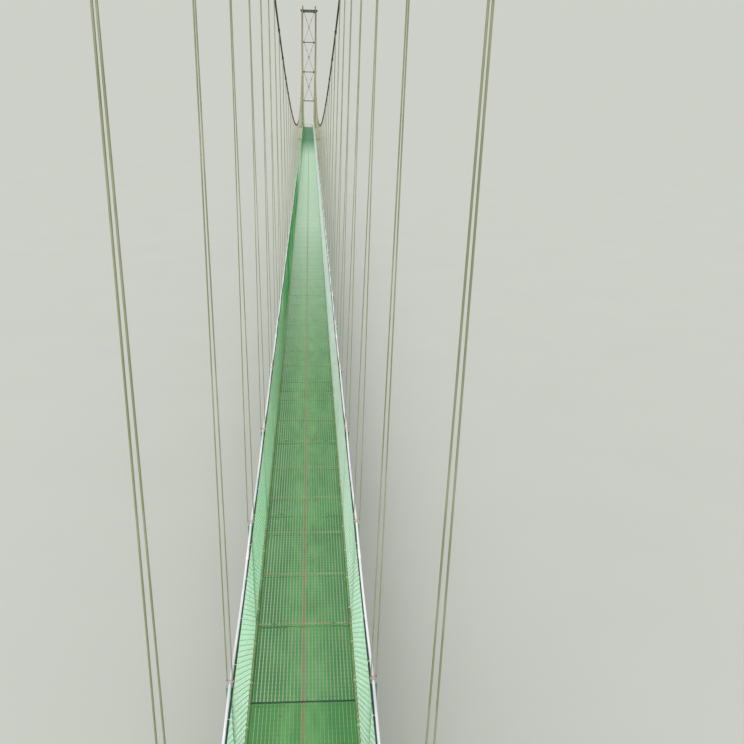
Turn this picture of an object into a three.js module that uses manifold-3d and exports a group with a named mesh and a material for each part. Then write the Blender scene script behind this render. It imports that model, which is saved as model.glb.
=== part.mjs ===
// A rope suspension footbridge, made as a 1:10 scale model.
//
// +Y runs along the bridge, +X across it and +Z up. The origin is at mid-span, on the ground.
// Two main cables run from one anchor block to the other, over a tall slim tower at each end. Doubled
// ropes hang from them, one pair for each bay and side, and hold the handrails. The rails, the green
// mesh panels under them and the cross-beams below carry a narrow deck of steel grating.

import * as THREE from 'three';
import { mergeVertices } from 'three/addons/utils/BufferGeometryUtils.js';
import Module from 'manifold-3d';

// One real metre in the model, in millimetres.
const METRE = 100;

// Clearance between pieces that rest on each other.
const SEAT = 0.3;

// Span and bays.
const BAYS = 43;
const BAY = 2.125 * METRE;
const HALF_SPAN = (BAYS * BAY) / 2;

// The bays at which the sections of deck, rail and mesh meet, counted from mid-span.
const SECTION_ENDS = [-BAYS / 2, -13, -4, 4, 13, BAYS / 2];

// Deck.
const DECK_TOP = 1.2 * METRE;
const GRATING_HALF_WIDTH = 0.445 * METRE;
const GRATING_DEPTH = 0.03 * METRE;
const FRAME_HALF_WIDTH = 0.495 * METRE;
const FRAME_DEPTH = 0.08 * METRE;
const EDGE_BEAM_WIDTH = 0.06 * METRE;
const CROSS_BEAM_WIDTH = 0.05 * METRE;
const FRAME_TOP = DECK_TOP - GRATING_DEPTH - SEAT;

// Side panels and handrail.
const PANEL_FOOT_OFFSET = 0.453 * METRE;
const PANEL_TOP_OFFSET = 0.475 * METRE;
const PANEL_HEIGHT = 1.06 * METRE;
const PANEL_THICKNESS = 0.008 * METRE;
const PANEL_ROWS = 2;
const PANEL_STRIP = 0.1 * METRE;
const PANEL_UPRIGHT = 0.16 * METRE;
const EDGE_BAR = 0.014 * METRE;
const POST_SIZE = 0.03 * METRE;
const RAIL_OFFSET = 0.48 * METRE;
const RAIL_HEIGHT = 1.1 * METRE;
const RAIL_RADIUS = 0.012 * METRE;
const RAIL_SIDES = 6;
const RAIL_OVERRUN = 0.3 * METRE;

// Main cables.
const CABLE_RADIUS = 0.018 * METRE;
const CABLE_LOW_POINT = 2.83 * METRE;
const CABLE_SAG = 8.8 * METRE;
const CABLE_OFFSET_MIDDLE = 0.51 * METRE;
const CABLE_OFFSET_TOWER = 0.62 * METRE;
const CABLE_SIDES = 8;
const SADDLE_BEND = 0.35 * METRE;
const SADDLE_STEPS = 6;
const BACKSTAY_SLOPE = Math.PI / 4;

// Hanger ropes.
const ROPE_RADIUS = 0.0045 * METRE;
const ROPE_SPREAD = 0.007 * METRE;
const ROPE_SIDES = 3;
const ROPE_STEPS = 2;
const CABLE_CLAMP = [0.05 * METRE, 0.07 * METRE, 0.04 * METRE];

// Towers.
const LEG_OFFSET = 0.66 * METRE;
const LEG_RADIUS = 0.08 * METRE;
const LEG_SIDES = 12;
const BASE_PLATE = [0.3 * METRE, 0.3 * METRE, 0.02 * METRE];
const CAP_BEAM_HALF_LENGTH = 0.85 * METRE;
const CAP_BEAM_WIDTH = 0.2 * METRE;
const CAP_BEAM_DEPTH = 0.18 * METRE;
const SADDLE_CORE_HALF = 0.025 * METRE;
const SADDLE_CORE_STEPS = 12;
const SADDLE_SUNK = CAP_BEAM_DEPTH / 4;
const SADDLE_CHEEK = 0.025 * METRE;
const SADDLE_CHEEK_REACH = 0.01 * METRE;
const LINTEL_HEIGHT = 2.65 * METRE;
const BRACE_PANELS = 3;
const BRACE_BAR_RADIUS = 0.04 * METRE;
const BRACE_ROD_RADIUS = 0.014 * METRE;
const BRACE_ROD_OFFSET = 0.5 * METRE;
const BRACE_SIDES = 8;
const BRACE_ROD_SIDES = 3;

// Abutments, which carry the towers and the ends of the deck.
const ABUTMENT_HALF_WIDTH = 1.1 * METRE;
const ABUTMENT_FRONT = 0.36 * METRE;
const ABUTMENT_BACK = 2.3 * METRE;
const SHELF_BACK = 0.16 * METRE;

// Anchor blocks and the steel shoes that hold the cable ends.
const ANCHOR_HALF_WIDTH = 1.2 * METRE;
const ANCHOR_HALF_LENGTH = 1.2 * METRE;
const ANCHOR_HEIGHT = 0.9 * METRE;
const ANCHOR_SETBACK = 0.1 * METRE;
const ANCHOR_PLATE = [1.9 * METRE, 0.7 * METRE, 0.04 * METRE];
const SOCKET_RADIUS = 0.045 * METRE;
const SOCKET_LENGTH = 0.5 * METRE;
const SOCKET_CLEARANCE = 0.12 * METRE;
const LUG_THICKNESS = 0.05 * METRE;

// Finishes.
const CONCRETE = { color: 0x8f8d84, roughness: 0.9, metalness: 0.0 };
const TOWER_PAINT = { color: 0x2d3230, roughness: 0.6, metalness: 0.3 };
const CABLE_STEEL = { color: 0x3a3732, roughness: 0.55, metalness: 0.6 };
const ROPE = { color: 0x9a9a62, roughness: 0.9, metalness: 0.0 };
const DECK_GREEN = { color: 0x3f8a4c, roughness: 0.6, metalness: 0.2 };
const FRAME_GREEN = { color: 0x2c6138, roughness: 0.6, metalness: 0.2 };
const MESH_GREEN = { color: 0x9fdcb4, roughness: 0.55, metalness: 0.1 };
const SHOE_STEEL = { color: 0x6b6c6a, roughness: 0.5, metalness: 0.7 };

const wasm = await Module();
wasm.setup();

const bridge = new THREE.Group();

function addPiece(name, geometry, finish) {
  const mesh = new THREE.Mesh(geometry, new THREE.MeshStandardMaterial(finish));
  mesh.name = name;
  bridge.add(mesh);
}

// Joining of solids. Corners closer than this are one corner.
const CORNER_MERGE = 0.0001;

function toSolid(geometry) {
  const bare = geometry.clone();
  bare.deleteAttribute('normal');
  bare.deleteAttribute('uv');
  const merged = mergeVertices(bare, CORNER_MERGE);
  return new wasm.Manifold(new wasm.Mesh({
    numProp: 3,
    vertProperties: merged.getAttribute('position').array,
    triVerts: Uint32Array.from(merged.getIndex().array),
  }));
}

function toGeometry(solid) {
  const mesh = solid.getMesh();
  const geometry = new THREE.BufferGeometry();
  geometry.setAttribute('position', new THREE.BufferAttribute(mesh.vertProperties, 3));
  geometry.setIndex(new THREE.BufferAttribute(mesh.triVerts, 1));
  geometry.computeVertexNormals();
  return geometry;
}

function join(geometries) {
  return toGeometry(geometries.map(toSolid).reduce((whole, next) => whole.add(next)));
}

function cutOut(geometry, openings) {
  const cutters = openings.map(toSolid);
  return toGeometry(cutters.reduce((whole, next) => whole.subtract(next), toSolid(geometry)));
}

// Basic shapes, given by where they lie.

function block(low, high) {
  const size = high.map((value, axis) => value - low[axis]);
  const centre = high.map((value, axis) => (value + low[axis]) / 2);
  return new THREE.BoxGeometry(...size).translate(...centre);
}

// A profile in X and Z, carried along Y.
function alongY(profile, start, end) {
  const shape = new THREE.Shape(profile.map(([x, z]) => new THREE.Vector2(x, z)));
  const geometry = new THREE.ExtrudeGeometry(shape, { depth: end - start, bevelEnabled: false });
  const turn = new THREE.Matrix4().makeBasis(
    new THREE.Vector3(1, 0, 0), new THREE.Vector3(0, 0, 1), new THREE.Vector3(0, -1, 0));
  return geometry.applyMatrix4(turn).translate(0, end, 0);
}

// A profile in Y and Z, carried along X.
function alongX(profile, start, end) {
  const shape = new THREE.Shape(profile.map(([y, z]) => new THREE.Vector2(y, z)));
  const geometry = new THREE.ExtrudeGeometry(shape, { depth: end - start, bevelEnabled: false });
  const turn = new THREE.Matrix4().makeBasis(
    new THREE.Vector3(0, 1, 0), new THREE.Vector3(0, 0, 1), new THREE.Vector3(1, 0, 0));
  return geometry.applyMatrix4(turn).translate(start, 0, 0);
}

// A straight round bar between two points.
function rod(from, to, radius, sides) {
  const start = new THREE.Vector3(...from);
  const line = new THREE.Vector3(...to).sub(start);
  const geometry = new THREE.CylinderGeometry(radius, radius, line.length(), sides);
  geometry.translate(0, line.length() / 2, 0);
  geometry.applyQuaternion(new THREE.Quaternion().setFromUnitVectors(
    new THREE.Vector3(0, 1, 0), line.clone().normalize()));
  return geometry.translate(start.x, start.y, start.z);
}

// A line through chosen stations, straight between them, with one step of a swept tube for each.
class StationLine extends THREE.Curve {
  constructor(stations) {
    super();
    this.stations = stations;
  }

  getPoint(t, target = new THREE.Vector3()) {
    const last = this.stations.length - 1;
    const place = Math.min(Math.max(t * last, 0), last);
    const index = Math.min(Math.floor(place), last - 1);
    return target.lerpVectors(this.stations[index], this.stations[index + 1], place - index);
  }

  getUtoTmapping(u) {
    return u;
  }
}

function sweep(path, radius, sides, steps) {
  const section = new THREE.Shape();
  for (let side = 0; side < sides; side += 1) {
    const angle = ((side + 0.5) * 2 * Math.PI) / sides;
    const point = [radius * Math.cos(angle), radius * Math.sin(angle)];
    if (side === 0) section.moveTo(...point);
    else section.lineTo(...point);
  }
  section.closePath();
  return new THREE.ExtrudeGeometry(section, { extrudePath: path, steps, bevelEnabled: false });
}

// The main cable's shape: a parabola between the towers, which draws in towards mid-span.

function cableHeight(y) {
  return DECK_TOP + CABLE_LOW_POINT + CABLE_SAG * (y / HALF_SPAN) ** 2;
}

function cableSlope(y) {
  return Math.atan((2 * CABLE_SAG * y) / HALF_SPAN ** 2);
}

function cableOffset(y) {
  const share = (y / HALF_SPAN) ** 2;
  return CABLE_OFFSET_MIDDLE + (CABLE_OFFSET_TOWER - CABLE_OFFSET_MIDDLE) * share;
}

// The hangers stand half a bay from mid-span and then a bay apart.
function hangersBetween(start, end) {
  const places = [];
  for (let bay = Math.ceil(start - 0.5); bay + 0.5 < end; bay += 1) {
    const place = (bay + 0.5) * BAY;
    if (Math.abs(place) < HALF_SPAN - BAY / 2) places.push(place);
  }
  return places;
}

// Where the cable bends over a tower. The bend's centre is on the tower's centre line, at the foot of
// the saddle, and the bend meets the parabola and the backstay on their own slopes.
const ENTRY_SLOPE = cableSlope(HALF_SPAN);
const ENTRY_Y = HALF_SPAN - SADDLE_BEND * Math.sin(ENTRY_SLOPE);
const SADDLE_FOOT = cableHeight(ENTRY_Y) - SADDLE_BEND * Math.cos(ENTRY_SLOPE);
const CAP_BEAM_BOTTOM = SADDLE_FOOT - CAP_BEAM_DEPTH;
const BACKSTAY_TOP_Y = HALF_SPAN + SADDLE_BEND * Math.sin(BACKSTAY_SLOPE);
const BACKSTAY_TOP_Z = SADDLE_FOOT + SADDLE_BEND * Math.cos(BACKSTAY_SLOPE);

// The socket is in line with the backstay, and the cable ends at its mouth.
const PLATE_TOP = ANCHOR_HEIGHT + SEAT + ANCHOR_PLATE[2];
const SOCKET_FOOT_Z = PLATE_TOP + SOCKET_CLEARANCE;
const SOCKET_MOUTH_Z = SOCKET_FOOT_Z + SOCKET_LENGTH * Math.sin(BACKSTAY_SLOPE);
const CABLE_END_Z = SOCKET_MOUTH_Z + SEAT * Math.sin(BACKSTAY_SLOPE);
const backstayY = (z) => BACKSTAY_TOP_Y + (BACKSTAY_TOP_Z - z) / Math.tan(BACKSTAY_SLOPE);
const ANCHOR_CENTRE = backstayY(SOCKET_FOOT_Z) - ANCHOR_SETBACK;

function mainCable(side) {
  const half = [];
  for (const y of hangersBetween(0, BAYS / 2)) {
    half.push([cableOffset(y), y, cableHeight(y)]);
  }
  for (let step = 0; step <= SADDLE_STEPS; step += 1) {
    const angle = -ENTRY_SLOPE + ((ENTRY_SLOPE + BACKSTAY_SLOPE) * step) / SADDLE_STEPS;
    const y = HALF_SPAN + SADDLE_BEND * Math.sin(angle);
    half.push([CABLE_OFFSET_TOWER, y, SADDLE_FOOT + SADDLE_BEND * Math.cos(angle)]);
  }
  half.push([CABLE_OFFSET_TOWER, backstayY(CABLE_END_Z), CABLE_END_Z]);
  const far = half.map(([x, y, z]) => new THREE.Vector3(side * x, y, z));
  const near = half.map(([x, y, z]) => new THREE.Vector3(side * x, -y, z)).reverse();
  const stations = [...near, ...far];
  return sweep(new StationLine(stations), CABLE_RADIUS, CABLE_SIDES, stations.length - 1);
}

// A hanger: two ropes side by side, a little slack, from the rail up to a clamp at the cable.
function hanger(side, y) {
  const railPoint = new THREE.Vector3(side * RAIL_OFFSET, y, DECK_TOP + RAIL_HEIGHT);
  const slope = cableSlope(y);
  const drop = CABLE_RADIUS + SEAT + CABLE_CLAMP[2] / 2;
  const clampPoint = new THREE.Vector3(
    side * cableOffset(y), y + drop * Math.sin(slope), cableHeight(y) - drop * Math.cos(slope));
  const cableClamp = new THREE.BoxGeometry(...CABLE_CLAMP);
  cableClamp.rotateX(slope);
  cableClamp.translate(clampPoint.x, clampPoint.y, clampPoint.z);
  const ropes = [-1, 1].map((way) => {
    const start = railPoint.clone();
    const end = clampPoint.clone();
    start.x += way * ROPE_RADIUS;
    end.x += way * ROPE_RADIUS;
    const bow = start.clone().lerp(end, 0.5);
    bow.x += way * 2 * ROPE_SPREAD;
    const path = new THREE.QuadraticBezierCurve3(start, bow, end);
    return sweep(path, ROPE_RADIUS, ROPE_SIDES, ROPE_STEPS);
  });
  return [cableClamp, ...ropes];
}

// The ends of a section along Y, drawn in by half the seat where it meets its neighbour.
function sectionSpan(start, end, overrun) {
  const low = start === -BAYS / 2 ? -HALF_SPAN - overrun : start * BAY + SEAT / 2;
  const high = end === BAYS / 2 ? HALF_SPAN + overrun : end * BAY - SEAT / 2;
  return [low, high];
}

function railSection(side, start, end) {
  const [low, high] = sectionSpan(start, end, RAIL_OVERRUN);
  const x = side * RAIL_OFFSET;
  const z = DECK_TOP + RAIL_HEIGHT;
  const rail = rod([x, low, z], [x, high, z], RAIL_RADIUS, RAIL_SIDES);
  return join([rail, ...hangersBetween(start, end).flatMap((y) => hanger(side, y))]);
}

// The openings of a side panel, which stand for its mesh: a plain grid with one column between two
// hangers, cut level through the leaning sheet.
function meshOpenings(side, uprights, foot, top) {
  const inner = side * (PANEL_FOOT_OFFSET - POST_SIZE);
  const outer = side * (PANEL_TOP_OFFSET + POST_SIZE);
  const rowHeight = (top - foot - PANEL_STRIP) / PANEL_ROWS;
  const openings = [];
  for (let column = 1; column < uprights.length; column += 1) {
    const y0 = uprights[column - 1] + PANEL_UPRIGHT / 2;
    const y1 = uprights[column] - PANEL_UPRIGHT / 2;
    for (let row = 0; row < PANEL_ROWS; row += 1) {
      const z0 = foot + PANEL_STRIP + rowHeight * row;
      const z1 = z0 + rowHeight - PANEL_STRIP;
      openings.push(block([Math.min(inner, outer), y0, z0], [Math.max(inner, outer), y1, z1]));
    }
  }
  return openings;
}

// A side panel: mesh in an edge frame, leaning outwards a little, with posts on its outer face.
function panelSection(side, start, end) {
  const [low, high] = sectionSpan(start, end, RAIL_OVERRUN);
  const foot = DECK_TOP + SEAT;
  const lean = (PANEL_TOP_OFFSET - PANEL_FOOT_OFFSET) / PANEL_HEIGHT;
  const inner = (z) => PANEL_FOOT_OFFSET + lean * (z - DECK_TOP);
  const strip = (bottom, top, from, thickness, y0, y1) => {
    const outline = [
      [inner(bottom) + from, bottom],
      [inner(bottom) + from + thickness, bottom],
      [inner(top) + from + thickness, top],
      [inner(top) + from, top],
    ];
    return alongY(outline.map(([x, z]) => [side * x, z]), y0, y1);
  };
  const top = DECK_TOP + PANEL_HEIGHT;
  const railUnderside = DECK_TOP + RAIL_HEIGHT - RAIL_RADIUS - SEAT;
  const post = (bottom, y) => strip(
    bottom, railUnderside, PANEL_THICKNESS / 2, POST_SIZE, y - POST_SIZE / 2, y + POST_SIZE / 2);
  const places = hangersBetween(start, end);
  const posts = places.map((y) => post(DECK_TOP - GRATING_DEPTH, y));
  if (start === -BAYS / 2) posts.push(post(foot, low + POST_SIZE));
  if (end === BAYS / 2) posts.push(post(foot, high - POST_SIZE));
  const sheet = strip(foot, top, 0, PANEL_THICKNESS, low, high);
  return join([
    cutOut(sheet, meshOpenings(side, [low, ...places, high], foot, top)),
    strip(foot, foot + EDGE_BAR, -EDGE_BAR, EDGE_BAR + PANEL_THICKNESS / 4, low, high),
    strip(top - EDGE_BAR, top, -EDGE_BAR, EDGE_BAR + PANEL_THICKNESS / 4, low, high),
    ...posts,
  ]);
}

// The deck ends short of the upstand behind each abutment's shelf.
const DECK_END_OVERRUN = -SHELF_BACK - SEAT;

function gratingSection(start, end) {
  const [low, high] = sectionSpan(start, end, DECK_END_OVERRUN);
  const underside = DECK_TOP - GRATING_DEPTH;
  return block([-GRATING_HALF_WIDTH, low, underside], [GRATING_HALF_WIDTH, high, DECK_TOP]);
}

// The steel frame under the grating: a beam along each edge and a cross-beam at every pair of hangers.
function frameSection(start, end) {
  const [low, high] = sectionSpan(start, end, DECK_END_OVERRUN);
  const half = CROSS_BEAM_WIDTH / 2;
  const beams = hangersBetween(start, end).map((y) => [y - half, y + half]);
  if (start === -BAYS / 2) beams.unshift([low, low + CROSS_BEAM_WIDTH]);
  if (end === BAYS / 2) beams.push([high - CROSS_BEAM_WIDTH, high]);
  const outline = (halfWidth, y0, y1) => [
    new THREE.Vector2(-halfWidth, y0),
    new THREE.Vector2(halfWidth, y0),
    new THREE.Vector2(halfWidth, y1),
    new THREE.Vector2(-halfWidth, y1),
  ];
  const gapHalfWidth = FRAME_HALF_WIDTH - EDGE_BEAM_WIDTH;
  const [first, last] = [beams[0], beams[beams.length - 1]];
  const ladder = new THREE.Shape(outline(FRAME_HALF_WIDTH, first[0], last[1]));
  for (let index = 1; index < beams.length; index += 1) {
    ladder.holes.push(new THREE.Path(outline(gapHalfWidth, beams[index - 1][1], beams[index][0])));
  }
  const frame = new THREE.ExtrudeGeometry(ladder, { depth: FRAME_DEPTH, bevelEnabled: false });
  frame.translate(0, 0, FRAME_TOP - FRAME_DEPTH);
  const edgeEnds = [[low, first[0] + half], [last[1] - half, high]];
  const longEnds = edgeEnds.filter(([y0, y1]) => y1 - y0 > half + SEAT);
  const ends = longEnds.flatMap(([y0, y1]) => [-1, 1].map((side) => {
    const inner = Math.min(side * FRAME_HALF_WIDTH, side * gapHalfWidth);
    const outer = Math.max(side * FRAME_HALF_WIDTH, side * gapHalfWidth);
    return block([inner, y0, FRAME_TOP - FRAME_DEPTH], [outer, y1, FRAME_TOP]);
  }));
  return join([frame, ...ends]);
}

// Towers, given by the end they stand at: -1 is the near end and 1 the far one.

function towerLeg(way, side) {
  const x = side * LEG_OFFSET;
  const y = way * HALF_SPAN;
  const foot = DECK_TOP + SEAT + BASE_PLATE[2] / 2;
  const plate = new THREE.BoxGeometry(...BASE_PLATE).translate(x, y, foot);
  const tube = rod([x, y, foot], [x, y, CAP_BEAM_BOTTOM - SEAT], LEG_RADIUS, LEG_SIDES);
  return join([plate, tube]);
}

// A half disc standing on its flat side, for the saddle's core and cheeks.
function halfDisc(y, radius) {
  const outline = [];
  for (let step = 0; step <= SADDLE_CORE_STEPS; step += 1) {
    const angle = (Math.PI * step) / SADDLE_CORE_STEPS;
    outline.push([y + radius * Math.cos(angle), SADDLE_FOOT + radius * Math.sin(angle)]);
  }
  outline.push([y - radius, SADDLE_FOOT - SADDLE_SUNK]);
  outline.push([y + radius, SADDLE_FOOT - SADDLE_SUNK]);
  return outline;
}

// The beam across both legs, with a grooved saddle for each cable.
function capBeam(way) {
  const y = way * HALF_SPAN;
  const beam = block(
    [-CAP_BEAM_HALF_LENGTH, y - CAP_BEAM_WIDTH / 2, CAP_BEAM_BOTTOM],
    [CAP_BEAM_HALF_LENGTH, y + CAP_BEAM_WIDTH / 2, SADDLE_FOOT]);
  const core = SADDLE_BEND - CABLE_RADIUS - SEAT;
  const cheek = SADDLE_BEND + SADDLE_CHEEK_REACH;
  const saddles = [-1, 1].flatMap((side) => {
    const x = side * CABLE_OFFSET_TOWER;
    const groove = SADDLE_CORE_HALF;
    return [
      alongX(halfDisc(y, core), x - groove - SADDLE_CHEEK / 2, x + groove + SADDLE_CHEEK / 2),
      alongX(halfDisc(y, cheek), x - groove - SADDLE_CHEEK, x - groove),
      alongX(halfDisc(y, cheek), x + groove, x + groove + SADDLE_CHEEK),
    ];
  });
  return join([beam, ...saddles]);
}

// Cross bars between the legs, from the lintel over the walkway to the cap beam, with crossed rods.
function towerBracing(way) {
  const y = way * HALF_SPAN;
  const reach = LEG_OFFSET - LEG_RADIUS - SEAT;
  const bottom = DECK_TOP + LINTEL_HEIGHT;
  const top = CAP_BEAM_BOTTOM - BRACE_BAR_RADIUS - SEAT;
  const pieces = [];
  for (let panel = 0; panel <= BRACE_PANELS; panel += 1) {
    const z = bottom + ((top - bottom) * panel) / BRACE_PANELS;
    pieces.push(rod([-reach, y, z], [reach, y, z], BRACE_BAR_RADIUS, BRACE_SIDES));
    if (panel < BRACE_PANELS) {
      const next = bottom + ((top - bottom) * (panel + 1)) / BRACE_PANELS;
      for (const side of [-1, 1]) {
        const foot = [-side * BRACE_ROD_OFFSET, y, z];
        const head = [side * BRACE_ROD_OFFSET, y, next];
        pieces.push(rod(foot, head, BRACE_ROD_RADIUS, BRACE_ROD_SIDES));
      }
    }
  }
  return join(pieces);
}

// A concrete block with a shelf at the front for the end of the deck.
function abutment(way) {
  const shelf = FRAME_TOP - FRAME_DEPTH - SEAT;
  const profile = [
    [HALF_SPAN - ABUTMENT_FRONT, 0],
    [HALF_SPAN + ABUTMENT_BACK, 0],
    [HALF_SPAN + ABUTMENT_BACK, DECK_TOP],
    [HALF_SPAN - SHELF_BACK, DECK_TOP],
    [HALF_SPAN - SHELF_BACK, shelf],
    [HALF_SPAN - ABUTMENT_FRONT, shelf],
  ];
  return alongX(profile.map(([y, z]) => [way * y, z]), -ABUTMENT_HALF_WIDTH, ABUTMENT_HALF_WIDTH);
}

function anchorBlock(way) {
  const y = way * ANCHOR_CENTRE;
  return block(
    [-ANCHOR_HALF_WIDTH, y - ANCHOR_HALF_LENGTH, 0],
    [ANCHOR_HALF_WIDTH, y + ANCHOR_HALF_LENGTH, ANCHOR_HEIGHT]);
}

// A steel plate bolted on the anchor block, with a lug and a sloping socket for each cable.
function anchorShoe(way) {
  const plate = new THREE.BoxGeometry(...ANCHOR_PLATE);
  plate.translate(0, way * ANCHOR_CENTRE, PLATE_TOP - ANCHOR_PLATE[2] / 2);
  const footY = backstayY(SOCKET_FOOT_Z);
  const mouthY = backstayY(SOCKET_MOUTH_Z);
  const middleY = (footY + mouthY) / 2;
  const middleZ = (SOCKET_FOOT_Z + SOCKET_MOUTH_Z) / 2;
  const lug = [
    [footY + SOCKET_CLEARANCE, PLATE_TOP - ANCHOR_PLATE[2] / 2],
    [footY, SOCKET_FOOT_Z],
    [middleY, middleZ],
    [middleY - SOCKET_CLEARANCE, PLATE_TOP - ANCHOR_PLATE[2] / 2],
  ];
  const sockets = [-1, 1].flatMap((side) => {
    const x = side * CABLE_OFFSET_TOWER;
    const foot = [x, way * footY, SOCKET_FOOT_Z];
    const mouth = [x, way * mouthY, SOCKET_MOUTH_Z];
    return [
      rod(foot, mouth, SOCKET_RADIUS, CABLE_SIDES),
      alongX(lug.map(([y, z]) => [way * y, z]), x - LUG_THICKNESS / 2, x + LUG_THICKNESS / 2),
    ];
  });
  return join([plate, ...sockets]);
}

// The two ends.
for (const [end, way] of [['near', -1], ['far', 1]]) {
  addPiece(`${end}_abutment`, abutment(way), CONCRETE);
  addPiece(`${end}_anchor_block`, anchorBlock(way), CONCRETE);
  addPiece(`${end}_anchor_shoe`, anchorShoe(way), SHOE_STEEL);
  addPiece(`${end}_tower_left_leg`, towerLeg(way, -1), TOWER_PAINT);
  addPiece(`${end}_tower_right_leg`, towerLeg(way, 1), TOWER_PAINT);
  addPiece(`${end}_tower_cap_beam`, capBeam(way), TOWER_PAINT);
  addPiece(`${end}_tower_bracing`, towerBracing(way), TOWER_PAINT);
}

// What runs from end to end.
for (const [hand, side] of [['left', -1], ['right', 1]]) {
  addPiece(`${hand}_main_cable`, mainCable(side), CABLE_STEEL);
}

// What is made in sections, counted from the near end.
for (let section = 1; section < SECTION_ENDS.length; section += 1) {
  const start = SECTION_ENDS[section - 1];
  const end = SECTION_ENDS[section];
  addPiece(`deck_grating_${section}`, gratingSection(start, end), DECK_GREEN);
  addPiece(`deck_frame_${section}`, frameSection(start, end), FRAME_GREEN);
  for (const [hand, side] of [['left', -1], ['right', 1]]) {
    addPiece(`${hand}_rail_and_hangers_${section}`, railSection(side, start, end), ROPE);
    addPiece(`${hand}_mesh_panel_${section}`, panelSection(side, start, end), MESH_GREEN);
  }
}

export default bridge;
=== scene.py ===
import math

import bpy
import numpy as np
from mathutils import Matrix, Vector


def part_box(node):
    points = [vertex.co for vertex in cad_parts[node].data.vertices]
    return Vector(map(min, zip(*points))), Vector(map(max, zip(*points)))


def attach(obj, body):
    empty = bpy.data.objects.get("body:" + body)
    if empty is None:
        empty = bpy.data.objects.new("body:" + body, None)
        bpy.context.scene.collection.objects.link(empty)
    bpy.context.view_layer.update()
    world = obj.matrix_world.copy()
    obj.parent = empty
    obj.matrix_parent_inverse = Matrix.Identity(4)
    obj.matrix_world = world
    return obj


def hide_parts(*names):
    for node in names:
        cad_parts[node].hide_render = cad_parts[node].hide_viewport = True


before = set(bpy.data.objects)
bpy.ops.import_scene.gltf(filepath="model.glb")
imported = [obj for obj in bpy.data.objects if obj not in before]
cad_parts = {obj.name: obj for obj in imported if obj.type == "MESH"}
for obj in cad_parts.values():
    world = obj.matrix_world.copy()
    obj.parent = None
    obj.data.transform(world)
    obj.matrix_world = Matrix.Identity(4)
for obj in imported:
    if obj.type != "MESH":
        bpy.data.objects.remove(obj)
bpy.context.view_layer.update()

# Looks of a rope suspension footbridge, a 1:10 scale model: +Y along the bridge, +X across it, +Z up.
# Sizes are written as real sizes, times METRE or MM, which are a real metre and millimetre in the model.
# A flat bar or plate is (width, thickness), or (width, length, thickness). What goes round a tube or a
# cable is (length, wall).

METRE = 0.1
MM = METRE / 1000
SEAT = 3 * MM
ACROSS = np.array([1.0, 0.0, 0.0])
ALONG = np.array([0.0, 1.0, 0.0])
UP = np.array([0.0, 0.0, 1.0])
HANDS = (("left", -1), ("right", 1))
ENDS = (("near", -1), ("far", 1))
rng = np.random.default_rng(43)

# Bays and sections, which meet at these bays, counted from mid-span.
BAYS = 43
BAY = 2125 * MM
HALF_SPAN = BAYS * BAY / 2
SECTION_ENDS = (-BAYS / 2, -13, -4, 4, 13, BAYS / 2)

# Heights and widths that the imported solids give.
DECK_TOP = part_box("deck_grating_3")[1].z
DECK_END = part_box("deck_grating_5")[1].y
RAIL_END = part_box("right_mesh_panel_5")[1].y
FRAME_LOW, FRAME_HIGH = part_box("deck_frame_3")
FRAME_DEPTH = FRAME_HIGH.z - FRAME_LOW.z
FRAME_MIDDLE = FRAME_HIGH.z - FRAME_DEPTH / 2
CAP_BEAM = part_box("far_tower_cap_beam")

# Deck.
BEARING_BARS = 29
BEARING_PITCH = 31.5 * MM
BEARING_DEPTH = 30 * MM
BAR_HEAD = (22.5 * MM, 4 * MM)
CLOSE_BAR_HEAD = (27 * MM, 4 * MM)
BAR_WEB = 4 * MM
END_BAND = (14 * MM, 8 * MM)
CROSS_ROD_PITCH = 53 * MM
CROSS_ROD_RADIUS = 2.5 * MM
PANEL_LENGTH = 0.4 * BAY
FIRST_PANEL_END = 17.5 * BAY
CLOSE_PANEL_END = 18 * BAY
GRATING_WIDTH = (BEARING_BARS - 1) * BEARING_PITCH + CLOSE_BAR_HEAD[0]
CLIP_OFFSET = 9 * BEARING_PITCH
CLIP = (38 * MM, 20 * MM, 2 * MM)
CLIP_HEAD_RADIUS, CLIP_HEAD_HEIGHT = 6 * MM, 4 * MM
COVER_STRIP = (18 * MM, 6 * MM)
COVER_STRIP_RISE = 2 * MM
BEAM_WALL = 7 * MM
EDGE_BEAM_WIDTH = 60 * MM
BEAM_REACH = FRAME_HIGH.x - EDGE_BEAM_WIDTH - MM
CROSS_BEAM = (30 * MM, 14 * MM)
EDGE_CUT = 2 * MM
BRACKET_REACH, BRACKET_THICKNESS, BRACKET_RISE = 30 * MM, 6 * MM, 10 * MM
JOINT_BAR = (8 * MM, 12 * MM)
SPLICE_LENGTH, SPLICE_HEIGHT, SPLICE_WALL = 180 * MM, 44 * MM, 9 * MM
SPLICE_BOLTS = np.array([-60, -20, 20, 60]) * MM

# Side panels and handrail.
PANEL_FOOT_OFFSET = 453 * MM
PANEL_HEIGHT = 1060 * MM
PANEL_LEAN = 22 / 1060
PANEL_THICKNESS = 8 * MM
EDGE_BAR = 14 * MM
TOE_LEVEL = DECK_TOP + SEAT + EDGE_BAR / 2
TOP_LEVEL = DECK_TOP + PANEL_HEIGHT - EDGE_BAR / 2
POST_SIZE = 30 * MM
POST_WALL = 3 * MM
POST_FOOT = (34 * MM, 80 * MM, 6 * MM)
POST_BOLT_OFFSET = 28 * MM
MESH_LONG = 66 * MM
MESH_SHORT = 50 * MM
INNER_WIRE = 8 * MM
OUTER_WIRE = 5 * MM
SHORTEST_WIRE = 5 * MM
WIRE_BITE = 0.45
TIE_EVERY = 8 * MESH_LONG
TIE_LOOP_WIDE, TIE_LOOP_HIGH = 26 * MM, 22 * MM
TIE_WIRE = 3.2 * MM
TIE_SHIFT = 3 * MM
TIE_END_GAP = 20 * MM
RAIL_OFFSET = 480 * MM
RAIL_HEIGHT = 1100 * MM
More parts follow.
